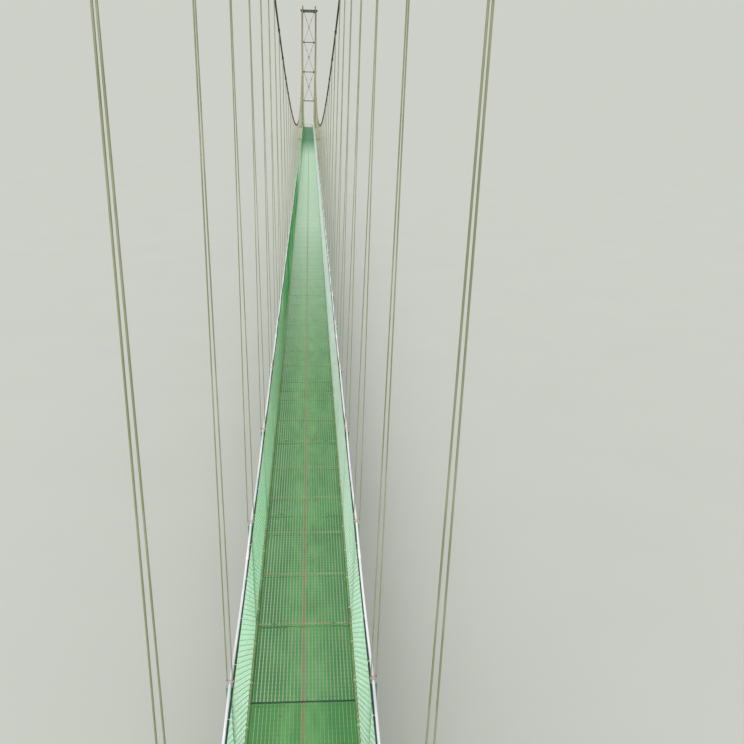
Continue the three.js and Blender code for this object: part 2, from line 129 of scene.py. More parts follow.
RAIL_LEVEL = DECK_TOP + RAIL_HEIGHT
RAIL_RADIUS = 9.5 * MM
RAIL_SCALLOP = 8 * MM
STEPS_PER_BAY = 8
BAYS_PER_LENGTH = 3
RAIL_JOINT_PLACE = 0.25
RAIL_SLEEVE = (120 * MM, 2.5 * MM)
RAIL_SLEEVE_GAP = 80 * MM

# Ropes and main cables.
ROPE_RADIUS = 4 * MM
ROPE_APART = 4.5 * MM
ROPE_SPREAD = 18 * MM
ROPE_PARTED = 0.6
SLACK_RANGE = (0.7, 1.35)
ROPE_STATIONS = 24
EYE_TOP = 28 * MM
EYE_DROP = 10 * MM
EYE_MARGIN = 8 * MM
EYE_THICKNESS = 6 * MM
RAIL_BAND = (28 * MM, 2 * MM)
RAIL_SADDLE = (42 * MM, 44 * MM, 3 * MM)
RAIL_SADDLE_SHIFT = 7 * MM
CLAMP_BOLT_DROP = 2 * MM
SLEEVE_RADIUS = 5.2 * MM
SLEEVE_STEPS = np.array([0, 3, 15, 20]) * MM
SLEEVE_GROW = (0.85, 1.0, 1.0, 0.78)
SLEEVE_FOOT_GAP, SLEEVE_HEAD_GAP = 4 * MM, 14 * MM
CABLE_RADIUS = 18 * MM
CABLE_LOW_POINT = 2830 * MM
CABLE_SAG = 8800 * MM
CABLE_OFFSET_MIDDLE = 510 * MM
CABLE_OFFSET_TOWER = 620 * MM
CABLE_LAY = 300 * MM
STEPS_PER_LAY = 8
CURVE_STATIONS, BEND_STATIONS = 400, 40
SADDLE_BEND = 350 * MM
BACKSTAY_SLOPE = math.pi / 4
CABLE_VALLEY = 0.84
CABLE_BAND = (70 * MM, 6 * MM)
BAND_DROP = 41 * MM
BAND_LUG = (8 * MM, 52 * MM)
BAND_LUG_DROP = 60 * MM
BAND_PIN_LENGTH, BAND_PIN_RADIUS = 48 * MM, 6 * MM
BAND_BOLT_LENGTH, BAND_BOLT_DROP, BAND_BOLT_OFFSET = 28 * MM, 30 * MM, 20 * MM

# Towers.
LEG_OFFSET = 660 * MM
LEG_RADIUS = 80 * MM
BASE_PLATE = (300 * MM, 20 * MM)
LINTEL_HEIGHT = 2650 * MM
BRACE_PANELS = 3
BRACE_BAR_RADIUS = 40 * MM
BRACE_ROD_RADIUS = 14 * MM
BRACE_ROD_OFFSET = 500 * MM
BRACE_PLATE_WIDTH, BRACE_PLATE_RISE, BRACE_PLATE_THICKNESS = 140 * MM, 90 * MM, 12 * MM
BRACE_RING_RADIUS, BRACE_RING_BAR = 90 * MM, 12 * MM
TURNBUCKLE_LENGTH, TURNBUCKLE_PLACE, TURNBUCKLE_GROW = 220 * MM, 700 * MM, 1.7
COLLAR = (70 * MM, 6 * MM)
LOW_COLLAR_HEIGHT = 1300 * MM
LEG_HEAD_THICKNESS, LEG_HEAD_REACH = 15 * MM, 45 * MM
BASE_BOLT_REACH = 0.55
CAP_BOLT_REACH = 26 * MM
GUSSET_REACH, GUSSET_RISE, GUSSET_TOE, GUSSET_THICKNESS = 60 * MM, 160 * MM, 20 * MM, 10 * MM
GUSSET_BITE = 4 * MM
CAP_FLANGE = (200 * MM, 14 * MM)
STIFFENERS = np.array([0.20, 0.50, 0.62, 0.70, 0.82]) * METRE
STIFFENER_THICKNESS, STIFFENER_INSET = 10 * MM, 6 * MM

# Saddles.
DRUM_WIDTH, DRUM_GAP = 60 * MM, 12 * MM
GROOVE_WIDTH, GROOVE_DEPTH, RIM_DEPTH = 50 * MM, 4 * MM, 20 * MM
GROOVE_POINTS = 9
CHEEK_OFFSET, CHEEK_THICKNESS, CHEEK_RISE = 37.5 * MM, 22 * MM, 10 * MM
CHEEK_BOLTS, CHEEK_BOLTS_DROP, CHEEK_BOLTS_START = 9, 60 * MM, 0.16
SADDLE_FOOT_DROP = 10 * MM
RIB_WIDTH, RIB_THICKNESS, RIB_HEIGHT = 24 * MM, 12 * MM, 120 * MM
RIB_X, RIB_Y = (-50 * MM, 50 * MM), (-90 * MM, 90 * MM)

# Anchors.
ANCHOR_PLATE_THICKNESS = 40 * MM
SOCKET_RADIUS = 45 * MM
SOCKET_LENGTH = 500 * MM
SOCKET_CLEARANCE = 120 * MM
SOCKET_STEPS = np.array([0, 0.06, 0.10, 0.30, 0.62, 0.80, 0.90, 0.94, 1.0]) * SOCKET_LENGTH
SOCKET_GROW = (0.7, 0.92, 0.92, 0.92, 1.0, 0.78, 0.66, 0.74, 0.60)
ANCHOR_PLATE_WIDTH, ANCHOR_PLATE_LENGTH = 1900 * MM, 700 * MM
ANCHOR_PLATE_SHIFT = 100 * MM
ANCHOR_BOLTS_X = (300 * MM, 540 * MM, 880 * MM)
ANCHOR_BOLTS_Y = (-270 * MM, 0, 270 * MM)
LUG_OFFSET, LUG_THICKNESS = 54 * MM, 18 * MM
LUG_MARGIN = 20 * MM
PIN_LENGTH, PIN_RADIUS, PIN_PLACE = 156 * MM, 22 * MM, 110 * MM
PIN_NUT_OFFSET = 64 * MM

# Concrete.
EDGE_ROUNDING = 12 * MM
ANCHOR_STEP = 60 * MM
BOARD_WIDTH = 150 * MM

# Bolts: their sizes, and as shares of a size, where each part begins and stops, its radius, and its sides.
SPLICE_BOLT, POST_BOLT, CLAMP_BOLT, CHEEK_BOLT = 12 * MM, 8 * MM, 5 * MM, 14 * MM
CAP_BOLT, BASE_BOLT, ANCHOR_BOLT, PIN_NUT = 11 * MM, 20 * MM, 24 * MM, 30 * MM
BOLT_PARTS = ((0, 0.15, 1.1, 12), (0.15, 0.95, 0.85, 6), (0.95, 1.35, 0.45, 8))

# Where a finish changes along the bridge: the place where the change begins, and where it is full. Most of
# these place painted light and shade: painted shade on the left mesh, which is lightest about LIGHTER_MIDDLE,
# with LIGHTER_REACH measured from there; painted light on the right mesh; a painted sheen on the deck;
# painted shade at the deck's far end; and the cable's shaded near half and lit far half.
PALER_NEAR_MESH = (-36.8 * METRE, -38.2 * METRE)
SHADED_MESH = (-37 * METRE, -24 * METRE)
LIT_MESH = (-38.5 * METRE, -30 * METRE)
LIGHTER_MIDDLE = 3 * METRE
LIGHTER_REACH = (-METRE, 13 * METRE)
PAINTED_SHEEN_ON_DECK = (-30.5 * METRE, -14 * METRE)
FAR_DECK_SHADE = (14 * METRE, 27 * METRE)
LIT_CABLE_HALF = (-6 * METRE, 6 * METRE)


# Surfaces: (points, faces of four corners, one texture place for each corner of each face).

def fan(sides):
    """The four-cornered faces that close a convex outline: (0, i, i + 1, i + 2) for each odd i."""
    return np.array([(0, i, i + 1, i + 2) for i in range(1, sides - 2, 2)])


def convex(outline):
    """A section given by a convex outline, with the faces that close it."""
    return np.array(outline), fan(len(outline))


def circle(angle, radius):
    """Points round (0, 0): radius * (cos a, sin a)."""
    return np.stack([radius * np.cos(angle), radius * np.sin(angle)], 1)


def round_section(radius, sides):
    """A circle's points at even steps, half a step round from its start."""
    return convex(circle((np.arange(sides) + 0.5) * 2 * np.pi / sides, radius))


def laid_section(radius, strands, valley):
    """A star of strands: the radius at each crown and valley * radius between two crowns."""
    angle = np.arange(2 * strands) * np.pi / strands
    reach = radius * np.where(np.arange(2 * strands) % 2 == 0, 1.0, valley)
    return circle(angle, reach), fan(2 * strands)


def bar_section(width, depth, chamfer=0.0):
    """A rectangle about its middle, or one whose four corners are cut off at 45 degrees."""
    w, d, c = width / 2, depth / 2, chamfer
    if not c:
        return convex([(-w, -d), (w, -d), (w, d), (-w, d)])
    outline = [(-w + c, -d), (w - c, -d), (w, -d + c), (w, d - c)]
    return convex(outline + [(-x, -y) for x, y in outline])


def angle_section(size, wall):
    """An angle bar: two legs of one size that meet at (0, 0), listed from the inner corner."""
    outline = [(wall, wall), (wall, size), (0, size), (0, 0), (size, 0), (size, wall)]
    return np.array(outline), np.array([(0, 1, 2, 3), (0, 3, 4, 5)])


def channel_section(width, depth, wall):
    """A channel whose web starts at 0 and whose two flanges reach to its width."""
    d = depth / 2
    lower = [(0, -d), (width, -d), (width, wall - d), (wall, wall - d)]
    outline = lower + [(x, -y) for x, y in reversed(lower)]
    return np.array(outline), np.array([(0, 1, 2, 3), (0, 3, 4, 7), (7, 4, 5, 6)])


def beam_section(width, depth, wall):
    """An I beam about its middle, with web and flanges of one wall thickness."""
    w, d, t = width / 2, depth / 2, wall / 2
    right = [(w, -d), (w, wall - d), (t, wall - d), (t, d - wall), (w, d - wall), (w, d)]
    outline = right + [(-x, -y) for x, y in right]
    caps = [(11, 0, 1, 2), (11, 2, 9, 10), (9, 2, 3, 8), (3, 4, 5, 8), (8, 5, 6, 7)]
    return np.array(outline), np.array(caps)


def tee_section(head, depth, web):
    """A T bar that hangs from (0, 0): a head of (width, thickness), and a web in the middle below it."""
    w, t = head[0] / 2, head[1]
    right = [(web / 2, -depth), (web / 2, -t), (w, -t), (w, 0)]
    outline = right + [(-x, y) for x, y in reversed(right)]
    return np.array(outline), np.array([(0, 1, 6, 7), (1, 2, 3, 4), (4, 5, 6, 1)])


def unit(vectors):
    """Each vector divided by its length."""
    return vectors / np.linalg.norm(vectors, axis=-1, keepdims=True)


def carry(section, paths, sideways, grow=None, turn=None, ring=False):
    """A section carried along paths, as one closed tube for each path.

    With t the path's direction at a station, a the sideways vector made square to t and b = t x a,
    the section's point (p, q) goes to station + grow * (p' a + q' b), where (p', q') is (p, q) turned
    by the station's turn. The section's faces close both ends, unless the path is a ring.
    """
    outline, cap = section
    paths = np.asarray(paths, float)
    paths = paths if paths.ndim == 3 else paths[None]
    tubes, stations, corners = len(paths), paths.shape[1], len(outline)
    along = unit(np.roll(paths, -1, 1) - np.roll(paths, 1, 1) if ring else np.gradient(paths, axis=1))
    side = np.broadcast_to(np.asarray(sideways, float), along.shape)
    side = unit(side - along * (along * side).sum(2, keepdims=True))
    lift = np.cross(along, side)
    grow = np.ones(stations) if grow is None else np.asarray(grow, float)
    turn = np.zeros(stations) if turn is None else np.asarray(turn, float)
    (p, q), cos, sin = outline.T, np.cos(turn), np.sin(turn)
    aside = grow[:, None] * (np.outer(cos, p) - np.outer(sin, q))
    above = grow[:, None] * (np.outer(sin, p) + np.outer(cos, q))
    skin = paths[:, :, None] + aside[None, :, :, None] * side[:, :, None]
    skin = skin + above[None, :, :, None] * lift[:, :, None]
    tube = np.arange(tubes)[:, None, None]
    here = np.arange(stations if ring else stations - 1)[None, :, None]
    corner = np.arange(corners)[None, None, :]

    def place(station, number):
        return (tube * stations + station % stations) * corners + number % corners

    walls = np.stack([place(here, corner), place(here, corner + 1),
                      place(here + 1, corner + 1), place(here + 1, corner)], -1)
    step = np.linalg.norm(np.diff(paths, axis=1), axis=2)
    run = np.concatenate([np.zeros((tubes, 1)), np.cumsum(step, 1)], 1)
    run = np.concatenate([run, run[:, -1:] + step[:, -1:]], 1)
    near, far = run[:, here[0, :, 0]][:, :, None], run[:, here[0, :, 0] + 1][:, :, None]
    across = np.broadcast_to(np.stack([corner, corner + 1, corner + 1, corner], -1) / corners, walls.shape)
    length = np.broadcast_to(np.stack([near, near, far, far], -1), walls.shape)
    faces, texture = walls.reshape(-1, 4), np.stack([across, length], -1).reshape(-1, 4, 2)
    if not ring:
        first = tube[:, :, 0, None] * stations * corners
        start = (first + cap[None, :, [0, 3, 2, 1]]).reshape(-1, 4)
        end = (first + (stations - 1) * corners + cap[None]).reshape(-1, 4)
        faces = np.concatenate([faces, start, end])
        texture = np.concatenate([texture, np.zeros((len(start) + len(end), 4, 2))])
    return skin.reshape(-1, 3), faces, texture


def points(x, y, z):
    """Points from three arrays or numbers, stretched to one length."""
    return np.stack(np.broadcast_arrays(np.asarray(x, float), y, z), -1).reshape(-1, 3)


def spans(starts, ends):
    """Straight paths of two stations, from each start to each end."""
    return np.stack(np.broadcast_arrays(np.atleast_2d(starts), np.atleast_2d(ends)), 1)


def rods(starts, ends, radius, sides=6, sideways=ACROSS):
    """Straight round bars: a circle carried from each start to each end."""
    return carry(round_section(radius, sides), spans(starts, ends), sideways)


def bars(middles, way, length, radius, sides=12, sideways=ACROSS):
    """Straight round bars about their middles, which reach half their length each way."""
    reach = np.asarray(way, float) * length / 2
    return rods(middles - reach, middles + reach, radius, sides, sideways)


def blocks(low, high):
    """Boxes with their sides along the axes: each corner takes its x, y and z from low or from high."""
    low, high = np.broadcast_arrays(np.atleast_2d(low), np.atleast_2d(high))
    pick = np.array([(0, 0, 0), (1, 0, 0), (1, 1, 0), (0, 1, 0), (0, 0, 1), (1, 0, 1), (1, 1, 1), (0, 1, 1)])
    sides = np.array([(0, 3, 2, 1), (4, 5, 6, 7), (0, 1, 5, 4), (1, 2, 6, 5), (2, 3, 7, 6), (3, 0, 4, 7)])
    corners = low[:, None] + pick[None] * (high - low)[:, None]
    faces = (np.arange(len(low))[:, None, None] * 8 + sides[None]).reshape(-1, 4)
    return corners.reshape(-1, 3), faces, np.zeros((len(faces), 4, 2))


def slabs(x, y, low, high, wide, long):
    """Upright boxes about the places (x, y), wide across the bridge, long along it, from low to high."""
    half_x, half_y = wide / 2, long / 2
    return blocks(points(x - half_x, y - half_y, low), points(x + half_x, y + half_y, high))


def plates(outline, places, thickness):
    """Upright plates that face across the bridge: an outline of (y, z) carried along X at each place."""
    half = ACROSS * thickness / 2
    return carry(convex(outline), spans(places - half, places + half), ALONG)


def joined(*surfaces):
    """Several surfaces as one: their points in a row, and each one's faces moved on by the points before."""
    places, faces, texture = zip(*surfaces)
    shift = np.cumsum([0] + [len(p) for p in places[:-1]])
    faces = [face + moved for face, moved in zip(faces, shift)]
    return np.concatenate(places), np.concatenate(faces), np.concatenate(texture)


def mirrored(surface, axis):
    """The surface seen in a mirror at the middle of one axis, with its faces turned to point outwards."""
    places, faces, texture = surface
    flip = np.ones(3)
    flip[axis] = -1
    return places * flip, faces[:, ::-1], texture[:, ::-1]


def handed(surface, side):
    """The right-hand surface as it is, or mirrored across the bridge for the left hand."""
    return surface if side > 0 else mirrored(surface, 0)


def ended(surface, way):
    """The far end's surface as it is, or mirrored along the bridge for the near end."""
    return surface if way > 0 else mirrored(surface, 1)


def both_hands(surface):
    """The right-hand surface with its mirror image."""
    return joined(surface, mirrored(surface, 0))


def placed(name, data):
    """A new object in the scene."""
    made = bpy.data.objects.new(name, data)
    bpy.context.scene.collection.objects.link(made)
    return made


def piece(name, surface, finish, nodes=(), crease=35, chamfer=0.0):
    """Puts a surface into a mesh, gives the piece its finish, and hides the nodes that it stands for."""
    places, faces, texture = surface
    mesh = bpy.data.meshes.new(name)
    mesh.vertices.add(len(places))
    mesh.vertices.foreach_set("co", places.astype(np.float32).ravel())
    mesh.loops.add(faces.size)
    mesh.loops.foreach_set("vertex_index", faces.astype(np.int32).ravel())
    mesh.polygons.add(len(faces))
    mesh.polygons.foreach_set("loop_start", np.arange(0, faces.size, 4, dtype=np.int32))
    mesh.polygons.foreach_set("use_smooth", np.ones(len(faces), bool))
    layer = mesh.uv_layers.new(name="surface")
    layer.data.foreach_set("uv", texture.astype(np.float32).ravel())
    mesh.update(calc_edges=True)
    mesh.validate()
    mesh.set_sharp_from_angle(angle=math.radians(crease))
    mesh.materials.append(finish)
    made = placed(name, mesh)
    if chamfer:
        edge = made.modifiers.new("rounded_edges", "BEVEL")
        edge.width = chamfer
        edge.segments = 2
        edge.limit_method = "ANGLE"
    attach(made, "root")
    if nodes:
        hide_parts(*nodes)
    return made


# Finishes. Colours are red, green and blue in linear light.

NEAR_PALE = (0.80, 0.93, 0.90)
# Painted shade on the left mesh.
SHADED_GREEN = (0.035, 0.36, 0.07)
# Painted light on the right mesh.
LIT_GREEN = (0.90, 1.0, 1.0)
MESH_SCAR = (0.10, 0.20, 0.13)
DECK_GREEN = (0.050, 0.23, 0.055)
DECK_PATCH = (0.085, 0.30, 0.08)
DECK_WORN = (0.12, 0.36, 0.11)
# Painted sheen on the deck.
DECK_PAINTED_SHEEN = (0.44, 0.62, 0.48)
# Painted shade on the deck's far end.
DECK_FAR_SHADE = (0.050, 0.21, 0.095)
DECK_TRODDEN = (0.26, 0.20, 0.11)
DECK_SCAR = (0.20, 0.12, 0.06)
FRAME_RUST = (0.16, 0.07, 0.03)
ROPE_GREEN = (0.17, 0.25, 0.10)
ROPE_BLEACHED = (0.32, 0.33, 0.22)
# Painted shade between a rope's strands.
ROPE_GROOVE_SHADE = (0.09, 0.095, 0.05)
# Painted shade between a cable's wires.
WIRE_GROOVE_SHADE = (0.015, 0.012, 0.010)
# Painted light on the cable's far half.
CABLE_LIT_TAN = (0.47, 0.33, 0.19)
CABLE_RUST = (0.26, 0.13, 0.06)
ZINC_SPANGLE = (0.46, 0.47, 0.47)
ZINC_BLOOM = (0.52, 0.52, 0.50)
ZINC_RUST = (0.22, 0.12, 0.07)
CONCRETE_PALE = (0.50, 0.48, 0.43)
CONCRETE_RUN = (0.20, 0.20, 0.18)
CONCRETE_DAMP = (0.16, 0.20, 0.10)
CONCRETE_JOINT = (0.24, 0.23, 0.21)


class Finish:
    """A finish made of nodes on the piece's own coordinates."""

    def __init__(self, name, colour, roughness, metallic=0.0):
        self.material = bpy.data.materials.new(name)
        self.material.use_nodes = True
        self.tree = self.material.node_tree
        self.shader = self.tree.nodes["Principled BSDF"]
        self.shader.inputs["Roughness"].default_value = roughness
        self.shader.inputs["Metallic"].default_value = metallic
        self.colour = colour
        self.places = self.node("TexCoord", {}).outputs
        self.x, self.y, self.z = self.node("SeparateXYZ", {0: self.places["Object"]}).outputs

    def set(self, socket, value):
        """Links a node's output to a socket, or writes a number or colour on it."""
        if isinstance(value, bpy.types.NodeSocket):
            self.tree.links.new(value, socket)
        elif isinstance(value, tuple):
            socket.default_value = (*value, 1.0)
        else:
            socket.default_value = value

    def node(self, kind, inputs, **settings):
        """A new node of a kind, with its settings and then its inputs, each linked or written."""
        made = self.tree.nodes.new("ShaderNode" + kind)
        for name, value in settings.items():
            setattr(made, name, value)
        for name, value in inputs.items():
            self.set(made.inputs[name], value)
        return made

    def noise(self, size, detail=4.0, stretch=(1, 1, 1)):
        """Soft noise from 0 to 1 whose blots are about one size wide, longer along a stretched axis."""
        mapping = self.node("Mapping", {"Vector": self.places["Object"], "Scale": [1 / s for s in stretch]})
        inputs = {"Vector": mapping.outputs[0], "Scale": 1 / size, "Detail": detail}
        return self.node("TexNoise", inputs).outputs[0]

    def cells(self, size):
        """The distance from the nearest of points scattered about one size apart."""
        inputs = {"Vector": self.places["Object"], "Scale": 1 / size}
        return self.node("TexVoronoi", inputs).outputs["Distance"]

    def math(self, operation, first, second=0.0):
        """One sum on two values."""
        return self.node("Math", {0: first, 1: second}, operation=operation).outputs[0]

    def share(self, value, low, high):
        """0 where the value is at low, 1 where it is at high, and evenly between."""
        return self.node("MapRange", {"Value": value, "From Min": low, "From Max": high}).outputs[0]

    def cover(self, share, colour):
        """Lays a second colour over the finish so far, where the share is 1."""
        self.colour = self.node("Mix", {0: share, 6: self.colour, 7: colour}, data_type="RGBA").outputs[2]

    def blots(self, size, low, high, colour, detail=4.0, stretch=(1, 1, 1)):
        """Lays a second colour over in soft blots: none where the noise is at low, all of it at high."""
        self.cover(self.share(self.noise(size, detail, stretch), low, high), colour)

    def relief(self, height, depth):
        """Raises and lowers the surface by up to a depth, on top of the relief so far."""
        normal = self.shader.inputs["Normal"]
        under = {"Normal": link.from_socket for link in normal.links}
        self.set(normal, self.node("Bump", {"Distance": depth, "Height": height, **under}).outputs[0])

    def grain(self, size, depth, detail=3.0):
        """Fine noise as relief."""
        self.relief(self.noise(size, detail), depth)

    def done(self):
        """Links the colour to the shader and gives the material."""
        self.set(self.shader.inputs["Base Color"], self.colour)
        return self.material


def wire_coating(name, colour, patch, dust):
    """Green coating on a layer of wires: soft patches, dust and dark scars.

    Both sides are a little paler at the near end. Beyond it the left side is darkened by painted shade, least
    so just past mid-span, and the right side is paled by painted light.
    """
    finish = Finish(name, colour, 0.5)
    finish.blots(160 * MM, 0.42, 0.66, patch)
    finish.blots(420 * MM, 0.52, 0.72, dust)
    finish.cover(finish.math("MULTIPLY", finish.share(finish.y, *PALER_NEAR_MESH), 0.2), NEAR_PALE)
    left = finish.share(finish.x, 100 * MM, -100 * MM)
    right = finish.share(finish.x, -100 * MM, 100 * MM)
    from_middle = finish.math("ABSOLUTE", finish.math("SUBTRACT", finish.y, LIGHTER_MIDDLE))
    painted_shade = finish.math("MULTIPLY", finish.share(finish.y, *SHADED_MESH),
                         finish.share(from_middle, *LIGHTER_REACH))
    painted_shade = finish.math("MULTIPLY", painted_shade, finish.share(finish.noise(900 * MM, 3.0), 0.2, 0.5))
    # Painted shade: the left side's wires darkened beyond the near end.
    finish.cover(finish.math("MULTIPLY", left, painted_shade), SHADED_GREEN)
    # Painted light: the right side's wires paled beyond the near end.
    painted_light = finish.share(finish.y, *LIT_MESH)
    finish.cover(finish.math("MULTIPLY", right, painted_light), LIT_GREEN)
    finish.blots(28 * MM, 0.66, 0.74, MESH_SCAR, 2.0)
    finish.grain(3 * MM, 0.4 * MM, 2.0)
    return finish.done()


def deck_paint():
    """Green paint on the grating, paled beyond the near end by a painted sheen, darkened towards the far end
    by painted shade, with rust down the middle and at scars.
    """
    finish = Finish("deck_paint", DECK_GREEN, 0.55)
    aside = finish.math("ABSOLUTE", finish.x)
    finish.blots(240 * MM, 0.40, 0.66, DECK_PATCH, 5.0, (1, 3, 1))
    worn = finish.math("MULTIPLY", finish.share(aside, 420 * MM, 120 * MM),
                       finish.noise(90 * MM, 5.0, (1, 4, 1)))
    finish.cover(finish.share(worn, 0.34, 0.70), DECK_WORN)
    # Painted sheen: the deck paler from the near end towards mid-span.
    finish.cover(finish.share(finish.y, *PAINTED_SHEEN_ON_DECK), DECK_PAINTED_SHEEN)
    # Painted shade: the deck darker towards the far end.
    finish.cover(finish.share(finish.y, *FAR_DECK_SHADE), DECK_FAR_SHADE)
    middle = finish.math("MULTIPLY", finish.share(aside, 46 * MM, 12 * MM), finish.noise(120 * MM, 3.0))
    finish.cover(finish.share(middle, 0.30, 0.62), DECK_TRODDEN)
    finish.blots(45 * MM, 0.64, 0.76, DECK_SCAR, 5.0)
    finish.grain(4 * MM, 0.5 * MM)
    return finish.done()


def weathered(name, colour, roughness, metallic, blots, grain):
    """A finish with blots of other colours, laid one over another, and a fine grain."""
    finish = Finish(name, colour, roughness, metallic)
    for blot in blots:
        finish.blots(*blot)
    finish.grain(*grain)
    return finish.done()


def frame_paint(name, colour, patch):
    """Green paint with rust that breaks through in freckles and runs down."""
    return weathered(name, colour, 0.5, 0.05,
                     [(200 * MM, 0.45, 0.7, patch), (40 * MM, 0.62, 0.74, FRAME_RUST, 6.0, (1, 1, 3))],
                     (6 * MM, 0.5 * MM))


def strands(finish, count, lay):
    """A wave that is 1 on the crown of each strand: the sine of its turns round plus its turns along."""
    around, along, _ = finish.node("SeparateXYZ", {0: finish.places["UV"]}).outputs
    turns = finish.math("ADD", finish.math("MULTIPLY", around, float(count)),
                        finish.math("MULTIPLY", along, -count / lay))
    wave = finish.math("SINE", finish.math("MULTIPLY", turns, 2 * math.pi))
    return finish.math("ADD", finish.math("MULTIPLY", wave, 0.5), 0.5)


def rope_fibre():
    """Grey-green laid rope: dark between the strands as painted shade, with greener and with bleached
    stretches.
    """
    finish = Finish("rope_fibre", (0.22, 0.25, 0.14), 0.85)
    finish.blots(500 * MM, 0.45, 0.65, ROPE_BLEACHED)
    finish.blots(140 * MM, 0.55, 0.75, ROPE_GREEN, 3.0)
    strand = strands(finish, 3, 30 * MM)
    # Painted shade in the grooves between the strands.
    finish.cover(finish.share(strand, 0.30, 0.0), ROPE_GROOVE_SHADE)
    finish.relief(strand, 1.5 * MM)
    return finish.done()


def cable_wire():
    """Weathered wire, with painted shade between the fine wires of each strand: near black as painted shade
    on the near half, and from mid-span on tan as painted light, with rust.
    """
    finish = Finish("cable_wire", (0.035, 0.032, 0.028), 0.6, 0.3)
    # Painted shade on the near half and painted light on the far half, with some patina blotches in the tan.
    lit_half_and_patina = finish.math("ADD", finish.share(finish.y, *LIT_CABLE_HALF),
                         finish.math("MULTIPLY", finish.noise(700 * MM), 0.5))
    wires = strands(finish, 30, 150 * MM)
    # Painted shade in the grooves between the wires.
    finish.cover(finish.share(wires, 0.25, 0.0), WIRE_GROOVE_SHADE)
    finish.cover(finish.share(lit_half_and_patina, 0.55, 0.95), CABLE_LIT_TAN)
    finish.blots(60 * MM, 0.58, 0.70, CABLE_RUST, 5.0)
    finish.relief(wires, 0.8 * MM)
    return finish.done()


def zinc():
    """Galvanised steel: grey spangles with dull white bloom."""
    finish = Finish("zinc", (0.34, 0.35, 0.35), 0.42, 0.7)
    finish.cover(finish.share(finish.cells(12 * MM), 0.2, 0.8), ZINC_SPANGLE)
    finish.blots(80 * MM, 0.52, 0.70, ZINC_BLOOM, 5.0)
    finish.blots(40 * MM, 0.66, 0.76, ZINC_RUST, 5.0)
    finish.grain(5 * MM, 0.3 * MM, 2.0)
    return finish.done()


def cast_concrete():
    """Board-marked concrete: level board joints, pores, dark runs from the top and green at the foot."""
    finish = Finish("cast_concrete", (0.40, 0.39, 0.35), 0.9)
    finish.blots(600 * MM, 0.40, 0.66, CONCRETE_PALE)
    finish.blots(120 * MM, 0.52, 0.74, CONCRETE_RUN, 6.0, (1, 1, 5))
    damp = finish.math("ADD", finish.share(finish.z, 500 * MM, 0.0), finish.noise(200 * MM, 5.0))
    finish.cover(finish.share(damp, 0.85, 1.35), CONCRETE_DAMP)
    boards = finish.math("PINGPONG", finish.z, BOARD_WIDTH / 2)
    finish.cover(finish.share(boards, 5 * MM, 0.0), CONCRETE_JOINT)
    finish.relief(finish.share(boards, 0.0, 6 * MM), 3 * MM)
    finish.relief(finish.share(finish.noise(12 * MM, 6.0), 0.35, 0.45), 2 * MM)
    return finish.done()


MINT = wire_coating("mint_coating", (0.65, 0.91, 0.68), (0.74, 0.93, 0.78), (0.66, 0.84, 0.60))
# The outer wires take a darker copy of the coating, as painted shade behind the inner wires.
SHADED_SAGE = wire_coating("sage_coating_shaded", (0.20, 0.44, 0.26), (0.26, 0.50, 0.33), (0.28, 0.44, 0.22))
DECK = deck_paint()
# Near-black green on the top bars and the cover strip: their own dark paint, and painted shade under the
# handrail and in the joint at the close bars.
FRAME_AND_SHADE = frame_paint("frame_paint", (0.012, 0.050, 0.030), (0.022, 0.085, 0.048))
GREEN = frame_paint("channel_paint", (0.050, 0.19, 0.080), (0.085, 0.27, 0.11))
BAND = frame_paint("band_paint", (0.32, 0.27, 0.17), (0.34, 0.42, 0.26))
# The cross-beams' paint is pale as painted light, lifting the shade that the grating above casts on them.
BEAM_PAINTED_LIGHT = frame_paint("beam_painted_light", (0.60, 0.78, 0.60), (0.70, 0.84, 0.68))

# Olive paint on the toe bars, brown where it is scraped.
TOE = weathered("toe_paint", (0.26, 0.33, 0.12), 0.65, 0.0,
                [(90 * MM, 0.50, 0.68, (0.20, 0.18, 0.08), 5.0, (1, 3, 1)),
                 (300 * MM, 0.50, 0.66, (0.20, 0.40, 0.19), 3.0)], (5 * MM, 0.5 * MM))

# White paint on the handrails, cool in tone, rubbed grey in places, with grey-green specks.
RAIL = weathered("rail_paint", (0.80, 0.79, 0.86), 0.35, 0.0,
                 [(180 * MM, 0.48, 0.72, (0.58, 0.57, 0.68), 4.0, (1, 3, 1)),
                  (22 * MM, 0.66, 0.74, (0.34, 0.36, 0.30), 3.0)], (8 * MM, 0.3 * MM))

# Dark paint on the towers and the cable bands, chalky in patches and streaked with rust downwards.
TOWER = weathered("tower_paint", (0.030, 0.036, 0.034), 0.55, 0.1,
                  [(350 * MM, 0.42, 0.68, (0.060, 0.068, 0.062)),
                   (60 * MM, 0.60, 0.74, (0.17, 0.08, 0.035), 6.0, (1, 1, 6))], (10 * MM, 0.6 * MM))

# Reddish metal of the rope sleeves, browned in places.
COPPER = weathered("copper_sleeve", (0.40, 0.12, 0.08), 0.45, 0.4,
                   [(20 * MM, 0.45, 0.62, (0.18, 0.10, 0.07))], (4 * MM, 0.3 * MM, 2.0))

ROPE = rope_fibre()
CABLE = cable_wire()
ZINC = zinc()
CONCRETE = cast_concrete()


# Places along the bridge.

def hangers(start, end):
    """The hangers' places in a section: half a bay from mid-span and then a bay apart."""
    places = (np.arange(math.ceil(start - 0.5), end - 0.5) + 0.5) * BAY
    return places[np.abs(places) < HALF_SPAN - BAY / 2]


def section_ends(start, end, last):
    """A section's two ends, with a seat between sections, and the given place at the bridge's ends."""
    low = -last if start == SECTION_ENDS[0] else start * BAY + SEAT / 2
    high = last if end == SECTION_ENDS[-1] else end * BAY - SEAT / 2
    return low, high


def with_ends(places, start, end, low, high):
    """A section's places, and low or high with them where it is the bridge's first or last section."""
    return np.append(places, [low] * (start == SECTION_ENDS[0]) + [high] * (end == SECTION_ENDS[-1]))


